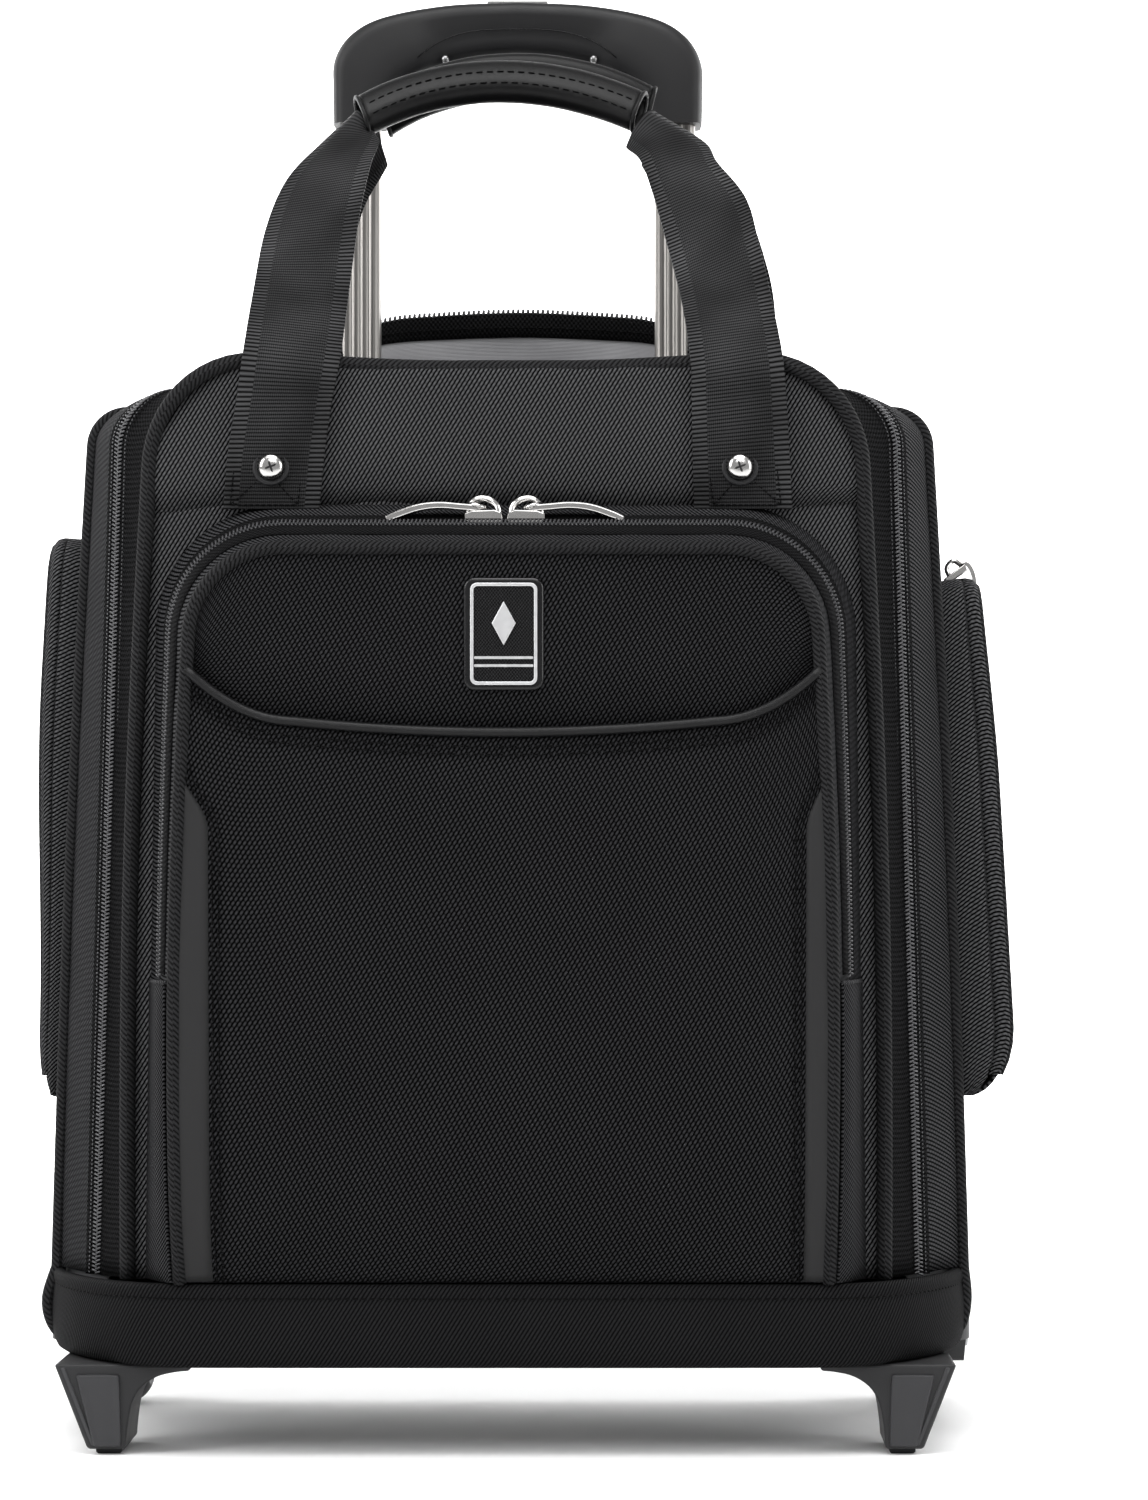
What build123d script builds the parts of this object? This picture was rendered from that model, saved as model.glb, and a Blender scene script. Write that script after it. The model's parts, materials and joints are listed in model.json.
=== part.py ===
from build123d import *
from math import cos, radians, sin
import os

# Pilot rolling flight case: an upright soft-sided bag on two front feet and two rear
# wheels, with a telescoping handle, twin carry handles and zipped pockets.
# +Z is up, the front faces -Y, and the origin is under the middle of the bag on the floor.
# All lengths are in millimetres.

os.makedirs("parts", exist_ok=True)


def save(piece, name):
    """Label a finished piece and write it under its own name."""
    piece.part.label = name
    export_step(piece.part, f"parts/{name}.step")


# Driving dimensions ------------------------------------------------------------------
FLOOR_GAP = 35.0  # underside of the base above the floor
SEAM = 66.0  # top of the twill base band
BODY_TOP = 410.0  # top panel
LID_TOP = 420.0  # top edge of the front panel
BODY_LOW_HALF = 186.0  # half-width of the bag at the base seam
BODY_TOP_HALF = 166.0  # half-width of the bag at the top panel
FRONT = -80.0  # front panel
ZIPPER = -62.0  # plane of the main zipper
SHOULDER = -25.0  # plane of the side piping
BACK = 111.0  # outer face of the back panel
WALL = 3.0  # padded panels
BASE_FRONT = -101.0  # front of the base band, where the lid and its pocket stand
POCKET_FRONT = -113.5  # face of the front pocket
POCKET_BACK_HALF = 137.0  # half-width of the front pocket where it meets the panel
POCKET_HINGE = 182.0  # height where the front pocket's zipper ends
COVER_BACK = -97.0  # plane of the front pocket's zipper
TUBE_X = 66.0  # handle tubes each side of the middle
TUBE_Y = 85.0
CUP_HALF = 82.0  # half-width of the handle cup inside
CUP_FLOOR = 355.0  # top of the handle cup's floor
GAP = 0.35  # running clearance between moving pieces
WHEEL_X = 164.0
WHEEL_Y = 88.0
WHEEL_RADIUS = 30.0
STRAP = 37.5  # width of the carry webbing

TAPER = (BODY_LOW_HALF - BODY_TOP_HALF) / (BODY_TOP - SEAM)


def body_half(height):
    """Half-width of the bag's side panels at a height."""
    return BODY_LOW_HALF - (height - SEAM) * TAPER


def upright(depth):
    """The front-view drawing plane at a depth: its x is +X and its y is +Z."""
    return Plane.XZ.offset(-depth)


def side_view(across):
    """The side-view drawing plane at a place across the bag: its x is +Y and its y is +Z."""
    return Plane.YZ.offset(across)


def arch(low, low_half, high, high_half, radius):
    """A standing panel outline, narrower at the top and with rounded top corners."""
    corners = [(-low_half, low), (low_half, low), (high_half, high), (-high_half, high)]
    with BuildSketch() as outline:
        Polygon(*corners, align=None)
        fillet(outline.vertices().group_by(Axis.Y)[-1], radius)
    return outline.sketch


def prism(outline, start, end):
    """A front-view outline carried straight back from one depth to another."""
    with BuildPart() as solid:
        with BuildSketch(upright(start)):
            add(outline)
        extrude(amount=start - end)
    return solid.part


def frustum(front_outline, front, rear_outline, rear):
    """A front-view outline that changes into another one between two depths."""
    with BuildPart() as solid:
        with BuildSketch(upright(front)):
            add(front_outline)
        with BuildSketch(upright(rear)):
            add(rear_outline)
        loft()
    return solid.part


def slab(x, y, z):
    """A box between two places on each axis."""
    with BuildPart() as solid:
        with BuildSketch(Plane.XY.offset(z[0])):
            with Locations(((x[0] + x[1]) / 2, (y[0] + y[1]) / 2)):
                Rectangle(x[1] - x[0], y[1] - y[0])
        extrude(amount=z[1] - z[0])
    return solid.part


def both_sides(x, y, z):
    """A box and its mirror image across the middle of the bag."""
    return slab(x, y, z), slab((-x[1], -x[0]), y, z)


# Room that the wheel housings and the handle cup take out of the bag
housing_room = both_sides((146.6, 200), (51.6, 130), (0, 73.4))
cup_room = slab((-CUP_HALF - 2.4, CUP_HALF + 2.4), (66.6, 107.4), (350, 420))

# Bag shell ---------------------------------------------------------------------------
body_outline = arch(SEAM, BODY_LOW_HALF, BODY_TOP, BODY_TOP_HALF, 16)
body_cavity = arch(
    SEAM, BODY_LOW_HALF - WALL, BODY_TOP - WALL, BODY_TOP_HALF - WALL + 0.2, 13
)
shell_outer = prism(body_outline, SHOULDER, BACK - WALL)
shell_inner = prism(body_cavity, SHOULDER, BACK - WALL)
CORNER = BODY_TOP - 18  # seam between the side panels and the top panel
SLOT_LOW = 142.0  # top of the side pockets' sewn foot
SIDE_POCKET_FRONT = -15.0
SIDE_POCKET_BACK = 85.0
SIDE_POCKET_TOP = 346.0
SIDE_POCKET_DEPTH = 19.0
SIDE_ZIPPER = 12.8  # how far the side pockets' zipper stands off the side panel

# The side panels lean inwards, so the side pockets are drawn on the leaning plane.
LEAN = Vector(1, 0, TAPER).normalized()
SIDE_MIDDLE = (SIDE_POCKET_FRONT + SIDE_POCKET_BACK) / 2
side_plane = Plane(
    origin=(body_half(SLOT_LOW), SIDE_MIDDLE, SLOT_LOW), x_dir=(0, 1, 0), z_dir=LEAN
)
SIDE_LENGTH = (SIDE_POCKET_TOP - SLOT_LOW) / LEAN.X
SIDE_WIDTH = SIDE_POCKET_BACK - SIDE_POCKET_FRONT


def side_pocket_block(low, high, inset, depth):
    """A block on the right side panel between two lengths along it."""
    half = SIDE_WIDTH / 2 - inset
    with BuildPart() as block:
        with BuildSketch(side_plane):
            Polygon((-half, low), (half, low), (half, high), (-half, high), align=None)
        extrude(amount=depth)
    return block.part


def stands_out(edge):
    """Whether an edge runs straight out from the side panel."""
    return abs(edge.tangent_at(0.5).dot(LEAN)) > 0.99


# Side pocket, case side: the gusset below its zipper, and the sewn foot under its cover
FOOT_DROP = 8.0
ZIP_GAP = 0.2
with BuildPart() as pocket_gusset:
    add(side_pocket_block(-FOOT_DROP, SIDE_LENGTH, 0, SIDE_ZIPPER - ZIP_GAP))
    fillet(pocket_gusset.edges().filter_by(stands_out).group_by(Axis.Z)[-1], 14)
    add(side_pocket_block(-FOOT_DROP, -GAP, 0, SIDE_POCKET_DEPTH))
pocket_foot_room = side_pocket_block(-FOOT_DROP + 2, 0, 2, SIDE_POCKET_DEPTH - 2)
pocket_gusset_room = side_pocket_block(-1, SIDE_LENGTH - 2, 2, SIDE_POCKET_DEPTH)

with BuildPart() as right_side_panel:
    add(shell_outer)
    add(shell_inner, mode=Mode.SUBTRACT)
    add(slab((120, 220), (-60, 130), (SEAM + 0.1, CORNER)), mode=Mode.INTERSECT)
    add(pocket_gusset.part)
    add(pocket_foot_room, mode=Mode.SUBTRACT)
    add(pocket_gusset_room, mode=Mode.SUBTRACT)
    add(housing_room[0], mode=Mode.SUBTRACT)
save(right_side_panel, "right_side_panel")

with BuildPart() as left_side_panel:
    mirror(right_side_panel.part, about=Plane.YZ)
save(left_side_panel, "left_side_panel")

with BuildPart() as top_panel:
    add(shell_outer)
    add(shell_inner, mode=Mode.SUBTRACT)
    add(slab((-220, 220), (-60, 130), (CORNER + 0.1, 430)), mode=Mode.INTERSECT)
    add(cup_room, mode=Mode.SUBTRACT)
save(top_panel, "top_panel")

back_blank = prism(body_outline, BACK - WALL + 0.1, BACK)
with BuildPart() as back_panel:
    add(back_blank)
    for room in housing_room:
        add(room, mode=Mode.SUBTRACT)
save(back_panel, "back_panel")

# Front gusset: the sloped band between the main zipper and the side piping
zip_outline = arch(SEAM + 0.3, 158.5, 412, 150, 24)
zip_cavity = arch(SEAM, 158.5 - WALL, 412 - WALL, 150 - WALL, 21)
shoulder_outline = arch(SEAM + 0.3, BODY_LOW_HALF, BODY_TOP, BODY_TOP_HALF, 16)
gusset_outer = frustum(zip_outline, ZIPPER, shoulder_outline, SHOULDER - 0.1)
gusset_inner = frustum(zip_cavity, ZIPPER, body_cavity, SHOULDER - 0.1)
with BuildPart() as front_gusset:
    add(gusset_outer)
    add(gusset_inner, mode=Mode.SUBTRACT)
save(front_gusset, "front_gusset")


def piping(low, low_half, high, high_half, radius, depth, thick):
    """A round cord that follows a panel's sides and top."""
    corners = [(-low_half, low), (-high_half, high), (high_half, high), (low_half, low)]
    with BuildPart() as cord:
        with BuildLine(upright(depth)) as path:
            FilletPolyline(*corners, radius=radius)
        with BuildSketch(path.line ^ 0):
            Circle(thick)
        sweep()
    return cord.part


SIDE_PIPING = 1.9
side_cord = piping(
    SEAM + 2, BODY_LOW_HALF + 1.7, BODY_TOP + 1.9, BODY_TOP_HALF + 2, 18, SHOULDER, SIDE_PIPING
)
with BuildPart() as side_piping:
    add(side_cord)
    add(shell_outer, mode=Mode.SUBTRACT)
    add(gusset_outer, mode=Mode.SUBTRACT)
save(side_piping, "side_piping")

# Main zipper, case side: a row of teeth round the gusset's front edge
TEETH_RISE = 1.6
teeth_outer = arch(SEAM + 6, 158.4 + TEETH_RISE, 412 + TEETH_RISE, 150 + TEETH_RISE, 25)
teeth_inner = arch(SEAM + 6, 158.4 - 0.2, 412 + 0.1, 150 + 0.1, 24)
with BuildPart() as case_zipper:
    add(prism(teeth_outer, ZIPPER - 0.1, ZIPPER + 1.6))
    add(prism(teeth_inner, ZIPPER - 0.1, ZIPPER + 1.6), mode=Mode.SUBTRACT)
    add(gusset_outer, mode=Mode.SUBTRACT)
    add(slab((-100, 100), (-70, -50), (SEAM, 300)), mode=Mode.SUBTRACT)
save(case_zipper, "case_zipper")

# Base: a moulded tray inside a twill band with cut-off front corners
base_corners = [
    (-BODY_LOW_HALF, BACK),
    (-BODY_LOW_HALF, SHOULDER + 5),
    (-150, FRONT - 2),
    (-129, BASE_FRONT),
    (129, BASE_FRONT),
    (150, FRONT - 2),
    (BODY_LOW_HALF, SHOULDER + 5),
    (BODY_LOW_HALF, BACK),
]


def base_plan(inset):
    """The base's outline seen from above, drawn in by an amount all round."""
    with BuildSketch() as plan:
        Polygon(*base_corners, align=None)
        fillet(plan.vertices().group_by(Axis.Y)[-2], 25)
        fillet(plan.vertices().sort_by(Axis.Y)[0:4], 14)
        if inset:
            offset(amount=-inset, mode=Mode.REPLACE)
    return plan.sketch


def base_block(inset, low, high):
    """The base's outline between two heights."""
    with BuildPart() as block:
        with BuildSketch(Plane.XY.offset(low)):
            add(base_plan(inset))
        extrude(amount=high - low)
    return block.part


TRAY = FLOOR_GAP + 3.0
with BuildPart() as base_band:
    add(base_block(0, FLOOR_GAP, SEAM))
    chamfer(base_band.edges().group_by(Axis.Z)[0], 2.4)
    add(base_block(WALL, TRAY - 0.5, SEAM + 1), mode=Mode.SUBTRACT)
    add(base_block(30, 0, SEAM), mode=Mode.SUBTRACT)
    for room in housing_room:
        add(room, mode=Mode.SUBTRACT)
save(base_band, "base_band")

SOCKET = (27.0, 23.0)  # sockets that hold the feet of the handle tubes
OUTER_TUBE = (22.0, 18.0)
MIDDLE_TUBE = (19.0, 15.0)
INNER_TUBE = (16.0, 12.0)
TUBE_WALL = 1.2
tube_places = [(-TUBE_X, TUBE_Y), (TUBE_X, TUBE_Y)]


def tubes(size, low, high, wall=0.0):
    """The pair of handle tubes between two heights, hollow when a wall is given."""
    with BuildPart() as pair:
        with BuildSketch(Plane.XY.offset(low)):
            with Locations(*tube_places):
                RectangleRounded(size[0], size[1], 3)
                if wall:
                    RectangleRounded(
                        size[0] - 2 * wall, size[1] - 2 * wall, 2, mode=Mode.SUBTRACT
                    )
        extrude(amount=high - low)
    return pair.part


with BuildPart() as base_tray:
    add(base_block(WALL + 0.1, TRAY - 0.4, TRAY + 2))
    add(base_block(WALL + 0.1, TRAY - 0.4, SEAM - 14))
    add(base_block(WALL + 2.1, TRAY + 2, SEAM), mode=Mode.SUBTRACT)
    add(tubes(SOCKET, TRAY + 2, TRAY + 16))
    add(tubes(OUTER_TUBE, TRAY + 2.5, TRAY + 30), mode=Mode.SUBTRACT)
    for room in housing_room:
        add(room, mode=Mode.SUBTRACT)
save(base_tray, "base_tray")

# Interior: a thin lining behind the shell and a board that closes off the handle tubes
DIVIDER_FRONT = 61.0
DIVIDER_BACK = 64.0
LINING_FRONT = SHOULDER + 12
lining_outer = arch(
    TRAY + 2.5, body_half(TRAY) - WALL - 4, BODY_TOP - WALL - 1.5, BODY_TOP_HALF - WALL - 1, 12
)
lining_inner = arch(
    TRAY + 3.5, body_half(TRAY) - WALL - 5, BODY_TOP - WALL - 2.5, BODY_TOP_HALF - WALL - 2, 11
)
with BuildPart() as interior_lining:
    add(prism(lining_outer, LINING_FRONT, DIVIDER_FRONT - 1))
    add(prism(lining_inner, LINING_FRONT, DIVIDER_FRONT - 1), mode=Mode.SUBTRACT)
    for room in housing_room:
        add(room, mode=Mode.SUBTRACT)
save(interior_lining, "interior_lining")

with BuildPart() as back_divider:
    add(prism(lining_outer, DIVIDER_FRONT, DIVIDER_BACK))
    for room in housing_room:
        add(room, mode=Mode.SUBTRACT)
save(back_divider, "back_divider")

# Handle cup in the top panel, with a mouth for each tube
with BuildPart() as handle_cup:
    add(slab((-CUP_HALF - 2, CUP_HALF + 2), (67, 107), (CUP_FLOOR - 3, BODY_TOP)))
    fillet(handle_cup.edges().filter_by(Axis.Z), 8)
    with BuildSketch(Plane.XY.offset(CUP_FLOOR)):
        with Locations((0, 87)):
            RectangleRounded(2 * CUP_HALF, 36, 6)
    extrude(amount=BODY_TOP - CUP_FLOOR + 1, mode=Mode.SUBTRACT)
    add(
        tubes((MIDDLE_TUBE[0] + 1, MIDDLE_TUBE[1] + 1), CUP_FLOOR - 5, CUP_FLOOR + 2),
        mode=Mode.SUBTRACT,
    )
save(handle_cup, "handle_cup")

# Telescoping tubes -------------------------------------------------------------------
OUTER_TOP = CUP_FLOOR - 3.3
with BuildPart() as outer_tubes:
    add(tubes(OUTER_TUBE, TRAY + 3, OUTER_TOP, TUBE_WALL))
save(outer_tubes, "outer_tubes")

with BuildPart() as mid_tubes:
    add(tubes(MIDDLE_TUBE, TRAY + 6, CUP_FLOOR + 3, TUBE_WALL))
save(mid_tubes, "mid_tubes")

INNER_LOW = 232.0
GRIP_LOW = 536.0
INNER_HIGH = 562.0
with BuildPart() as inner_tubes:
    add(tubes(INNER_TUBE, INNER_LOW, INNER_HIGH, TUBE_WALL))
save(inner_tubes, "inner_tubes")

with BuildPart() as lock_plugs:
    add(tubes((INNER_TUBE[0] - 0.2, INNER_TUBE[1] - 0.2), INNER_LOW - 10, INNER_LOW))
save(lock_plugs, "lock_plugs")

# Grip: an arched handle in two halves that hold the button's yoke between them
GRIP_HALF = 77.0
GRIP_TOP = 587.0
GRIP_DEPTH = 14.0
BUTTON_TRAVEL = 3.5
with BuildSketch() as grip_outline:
    with BuildLine():
        Line((-GRIP_HALF, GRIP_LOW), (-GRIP_HALF, 562))
        ThreePointArc((-GRIP_HALF, 562), (-71.5, 574), (-58, 581.5))
        ThreePointArc((-58, 581.5), (0, GRIP_TOP), (58, 581.5))
        ThreePointArc((58, 581.5), (71.5, 574), (GRIP_HALF, 562))
        Line((GRIP_HALF, 562), (GRIP_HALF, GRIP_LOW))
        Line((GRIP_HALF, GRIP_LOW), (54, GRIP_LOW))
        Line((54, GRIP_LOW), (52, 549))
        ThreePointArc((52, 549), (0, 564.5), (-52, 549))
        Line((-52, 549), (-54, GRIP_LOW))
        Line((-54, GRIP_LOW), (-GRIP_HALF, GRIP_LOW))
    make_face()
with BuildSketch() as grip_cavity:
    add(grip_outline.sketch)
    offset(amount=-2.2, mode=Mode.REPLACE)

grip_tube_room = tubes((INNER_TUBE[0] + 0.3, INNER_TUBE[1] + 0.3), GRIP_LOW - 5, INNER_HIGH + 0.3)
button_room = slab((-13, 13), (TUBE_Y - 5.4, TUBE_Y + 5.4), (566.9, 600))
SCREW_PLACES = ((-40, 561.5), (40, 561.5))


def screw_rods(radius, front, rear):
    """Round bars along Y where the grip's screws go."""
    with BuildPart() as rods:
        with BuildSketch(upright(front)):
            with Locations(*SCREW_PLACES):
                Circle(radius)
        extrude(amount=front - rear)
    return rods.part


GRIP_FRONT_FACE = TUBE_Y - GRIP_DEPTH
GRIP_REAR_FACE = TUBE_Y + GRIP_DEPTH
grip_front_block = prism(grip_outline.sketch, GRIP_FRONT_FACE, TUBE_Y - 0.05)
grip_front_room = prism(grip_cavity.sketch, GRIP_FRONT_FACE + 2.4, TUBE_Y)
grip_rear_block = prism(grip_outline.sketch, TUBE_Y + 0.05, GRIP_REAR_FACE)
grip_rear_room = prism(grip_cavity.sketch, TUBE_Y, GRIP_REAR_FACE - 2.4)

with BuildPart() as grip_front:
    add(grip_front_block)
    chamfer(grip_front.faces().sort_by(Axis.Y)[0].edges(), 1.6)
    add(grip_front_room, mode=Mode.SUBTRACT)
    add(screw_rods(2.8, GRIP_FRONT_FACE + 2, TUBE_Y - 0.05))
    add(screw_rods(1.2, GRIP_FRONT_FACE + 4, TUBE_Y), mode=Mode.SUBTRACT)
    add(grip_tube_room, mode=Mode.SUBTRACT)
    add(button_room, mode=Mode.SUBTRACT)
save(grip_front, "grip_front")

with BuildPart() as grip_rear:
    add(grip_rear_block)
    chamfer(grip_rear.faces().sort_by(Axis.Y)[-1].edges(), 1.6)
    add(grip_rear_room, mode=Mode.SUBTRACT)
    add(screw_rods(2.8, TUBE_Y + 0.05, GRIP_REAR_FACE - 2))
    add(screw_rods(1.3, TUBE_Y, GRIP_REAR_FACE), mode=Mode.SUBTRACT)
    add(screw_rods(2.6, GRIP_REAR_FACE - 2, GRIP_REAR_FACE + 1), mode=Mode.SUBTRACT)
    add(grip_tube_room, mode=Mode.SUBTRACT)
    add(button_room, mode=Mode.SUBTRACT)
save(grip_rear, "grip_rear")

with BuildPart() as grip_screws:
    add(screw_rods(1.2, GRIP_FRONT_FACE + 4.2, GRIP_REAR_FACE - 2))
    add(screw_rods(2.5, GRIP_REAR_FACE - 2, GRIP_REAR_FACE - 0.4))
    with BuildSketch(upright(GRIP_REAR_FACE - 0.3)):
        with Locations(*SCREW_PLACES):
            Rectangle(3.2, 0.8)
            Rectangle(0.8, 3.2)
    extrude(amount=1.1, mode=Mode.SUBTRACT)
save(grip_screws, "grip_screws")

YOKE_LOW = 570.9
YOKE_HIGH = 574.0
with BuildPart() as release_rods:
    add(slab((-63.5, 63.5), (TUBE_Y - 2, TUBE_Y + 2), (YOKE_LOW, YOKE_HIGH)))
    for side in (-1, 1):
        ends = sorted((side * 60.3, side * 63.5))
        add(slab(ends, (TUBE_Y - 1.6, TUBE_Y + 1.6), (INNER_LOW + 5, YOKE_LOW + 1)))
save(release_rods, "release_rods")

with BuildPart() as release_button:
    add(slab((-12.6, 12.6), (TUBE_Y - 5, TUBE_Y + 5), (YOKE_HIGH, GRIP_TOP + 1.3)))
    fillet(release_button.edges().group_by(Axis.Z)[-1], 0.8)
save(release_button, "release_button")

# Wheels ------------------------------------------------------------------------------
HOUSING_IN = 147.0
HOUSING_OUT = 187.0
SLOT_IN = 152.5
SLOT_OUT = 175.5
WHEEL_WIDTH = 20.0
AXLE = 4.0


def disc(radius, start, end, across_y=WHEEL_Y, height=WHEEL_RADIUS):
    """A round bar along X at the wheels' axle."""
    with BuildPart() as bar:
        with BuildSketch(side_view(start)):
            with Locations((across_y, height)):
                Circle(radius)
        extrude(amount=end - start)
    return bar.part


with BuildPart() as right_housing_block:
    with BuildSketch(side_view(HOUSING_IN)):
        with BuildLine():
            Line((52, 72), (BACK + 1, 72))
            Line((BACK + 1, 72), (BACK + 1, 48))
            Line((BACK + 1, 48), (98, 18))
            Line((98, 18), (78, 18))
            Line((78, 18), (52, 40))
            Line((52, 40), (52, 72))
        make_face()
    extrude(amount=HOUSING_OUT - HOUSING_IN)
    fillet(right_housing_block.edges().filter_by(Axis.X), 5)
    add(disc(WHEEL_RADIUS + 3, SLOT_IN, SLOT_OUT), mode=Mode.SUBTRACT)
    add(slab((SLOT_IN, SLOT_OUT), (55, 130), (0, 30)), mode=Mode.SUBTRACT)
    add(slab((SLOT_IN, SLOT_OUT), (100, 130), (10, 46)), mode=Mode.SUBTRACT)
    add(disc(AXLE, HOUSING_IN - 1, HOUSING_OUT + 1), mode=Mode.SUBTRACT)
with BuildPart() as wheel_housings:
    add(right_housing_block.part)
    mirror(right_housing_block.part, about=Plane.YZ)
save(wheel_housings, "wheel_housings")

with BuildPart() as right_axle:
    add(disc(AXLE, HOUSING_IN - 1.5, HOUSING_OUT + 1.5))
    add(disc(4.7, HOUSING_IN - 3.5, HOUSING_IN - 0.05))
    add(disc(6.5, HOUSING_OUT + 0.05, HOUSING_OUT + 2))
with BuildPart() as wheel_axles:
    add(right_axle.part)
    mirror(right_axle.part, about=Plane.YZ)
save(wheel_axles, "wheel_axles")

HUB_RADIUS = 19.0
BEARING_RADIUS = 11.0
wheel_from = WHEEL_X - WHEEL_WIDTH / 2
wheel_to = WHEEL_X + WHEEL_WIDTH / 2
with BuildPart() as right_tyre:
    with BuildSketch(Plane.XY.offset(WHEEL_RADIUS)) as tyre_section:
        with BuildLine():
            Line((wheel_from + 2, WHEEL_Y + HUB_RADIUS), (wheel_to - 2, WHEEL_Y + HUB_RADIUS))
            Line((wheel_to - 2, WHEEL_Y + HUB_RADIUS), (wheel_to, WHEEL_Y + 23))
            ThreePointArc(
                (wheel_to, WHEEL_Y + 23),
                (WHEEL_X, WHEEL_Y + WHEEL_RADIUS),
                (wheel_from, WHEEL_Y + 23),
            )
            Line((wheel_from, WHEEL_Y + 23), (wheel_from + 2, WHEEL_Y + HUB_RADIUS))
        make_face()
    revolve(axis=Axis((WHEEL_X, WHEEL_Y, WHEEL_RADIUS), (1, 0, 0)))
save(right_tyre, "right_tyre")

with BuildPart() as right_hub:
    add(disc(HUB_RADIUS, wheel_from + 2.5, wheel_to - 2.5))
    add(disc(BEARING_RADIUS, wheel_from, wheel_to), mode=Mode.SUBTRACT)
    add(disc(BEARING_RADIUS + 1, WHEEL_X - 1, WHEEL_X + 1))
    add(disc(AXLE + 3, WHEEL_X - 2, WHEEL_X + 2), mode=Mode.SUBTRACT)
    with BuildSketch(side_view(wheel_from + 2)):
        with Locations((WHEEL_Y, WHEEL_RADIUS)):
            with PolarLocations(15, 5):
                Circle(2.6)
    extrude(amount=WHEEL_WIDTH, mode=Mode.SUBTRACT)
save(right_hub, "right_hub")

with BuildPart() as right_bearings:
    add(disc(BEARING_RADIUS, wheel_from + 2.5, WHEEL_X - 1))
    add(disc(BEARING_RADIUS, WHEEL_X + 1, wheel_to - 2.5))
    add(disc(AXLE + 0.08, wheel_from, wheel_to), mode=Mode.SUBTRACT)
save(right_bearings, "right_bearings")

with BuildPart() as left_tyre:
    mirror(right_tyre.part, about=Plane.YZ)
save(left_tyre, "left_tyre")
with BuildPart() as left_hub:
    mirror(right_hub.part, about=Plane.YZ)
save(left_hub, "left_hub")
with BuildPart() as left_bearings:
    mirror(right_bearings.part, about=Plane.YZ)
save(left_bearings, "left_bearings")

# Front feet --------------------------------------------------------------------------
FOOT_FRONT = -88.0
FOOT_REAR = -45.0
SOLE = 2.0
with BuildPart() as right_foot:
    with BuildSketch(upright(FOOT_FRONT)):
        with BuildLine():
            Line((121, FLOOR_GAP - 3), (121, FLOOR_GAP))
            Line((121, FLOOR_GAP), (172, FLOOR_GAP))
            Line((172, FLOOR_GAP), (159, SOLE))
            Line((159, SOLE), (146, SOLE))
            Line((146, SOLE), (145, 20))
            ThreePointArc((145, 20), (139, 29), (121, FLOOR_GAP - 3))
        make_face()
    extrude(amount=FOOT_FRONT - FOOT_REAR)
    chamfer(right_foot.faces().sort_by(Axis.Y)[0].edges().sort_by(Axis.X)[-1], 1.5)
with BuildPart() as front_feet:
    add(right_foot.part)
    mirror(right_foot.part, about=Plane.YZ)
save(front_feet, "front_feet")

with BuildPart() as foot_glides:
    for piece in both_sides((147.5, 157.5), (FOOT_FRONT + 5, FOOT_REAR - 5), (0, SOLE)):
        add(piece)
    chamfer(foot_glides.edges().group_by(Axis.Z)[0], 0.8)
save(foot_glides, "foot_glides")

BASE_SCREWS = ((-146, -62), (146, -62), (-139, 68), (139, 68))
with BuildPart() as base_screws:
    with BuildSketch(Plane.XY.offset(TRAY + 2.05)):
        with Locations(*BASE_SCREWS):
            Circle(4)
    extrude(amount=2.2)
    with BuildSketch(Plane.XY.offset(TRAY + 4.25)):
        with Locations(*BASE_SCREWS):
            Rectangle(4.4, 1)
            Rectangle(1, 4.4)
    extrude(amount=-1.2, mode=Mode.SUBTRACT)
save(base_screws, "base_screws")

# Lid ---------------------------------------------------------------------------------
LID_LOW = SEAM + 0.8
panel_outline = arch(LID_LOW, 146, LID_TOP, 135, 38)
panel_cavity = arch(LID_LOW + WALL, 146 - WALL, LID_TOP - WALL, 135 - WALL, 35)
lid_edge_outline = arch(LID_LOW, 158.5, 412, 150, 24)
lid_edge_cavity = arch(LID_LOW + WALL, 158.5 - WALL, 412 - WALL, 150 - WALL, 21)
LID_BACK = ZIPPER - 0.8
lid_outer = frustum(panel_outline, FRONT, lid_edge_outline, LID_BACK)
lid_inner = frustum(panel_cavity, FRONT + WALL, lid_edge_cavity, LID_BACK)
STRAP_FOOT = (91.0, 366.0)  # middle of the webbing where its lower end is sewn in
STRAP_HEAD = (85.5, 416.0)  # middle of the webbing where it leaves the panel
SCREW_Z = 379.0
SCREW_X = 90.0


def screw_bars(radius, front, rear):
    """Round bars along Y where the carry handle's screws go."""
    with BuildPart() as bars:
        with BuildSketch(upright(front)):
            with Locations((-SCREW_X, SCREW_Z), (SCREW_X, SCREW_Z)):
                Circle(radius)
        extrude(amount=front - rear)
    return bars.part


with BuildPart() as lid_panel:
    add(lid_outer)
    add(lid_inner, mode=Mode.SUBTRACT)
    add(screw_bars(2.3, FRONT - 1, FRONT + 5), mode=Mode.SUBTRACT)
save(lid_panel, "lid_panel")

lid_cord = piping(LID_LOW + 2, 145.2, LID_TOP - 1, 134.2, 37, FRONT + 0.6, 2.0)
with BuildPart() as lid_piping:
    add(lid_cord)
    add(lid_outer, mode=Mode.SUBTRACT)
save(lid_piping, "lid_piping")

with BuildPart() as lid_zipper:
    add(prism(teeth_outer, LID_BACK - 1.4, LID_BACK))
    add(prism(teeth_inner, LID_BACK - 1.4, LID_BACK), mode=Mode.SUBTRACT)
    add(lid_outer, mode=Mode.SUBTRACT)
    add(slab((-100, 100), (-70, -50), (SEAM, 300)), mode=Mode.SUBTRACT)
save(lid_zipper, "lid_zipper")

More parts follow.
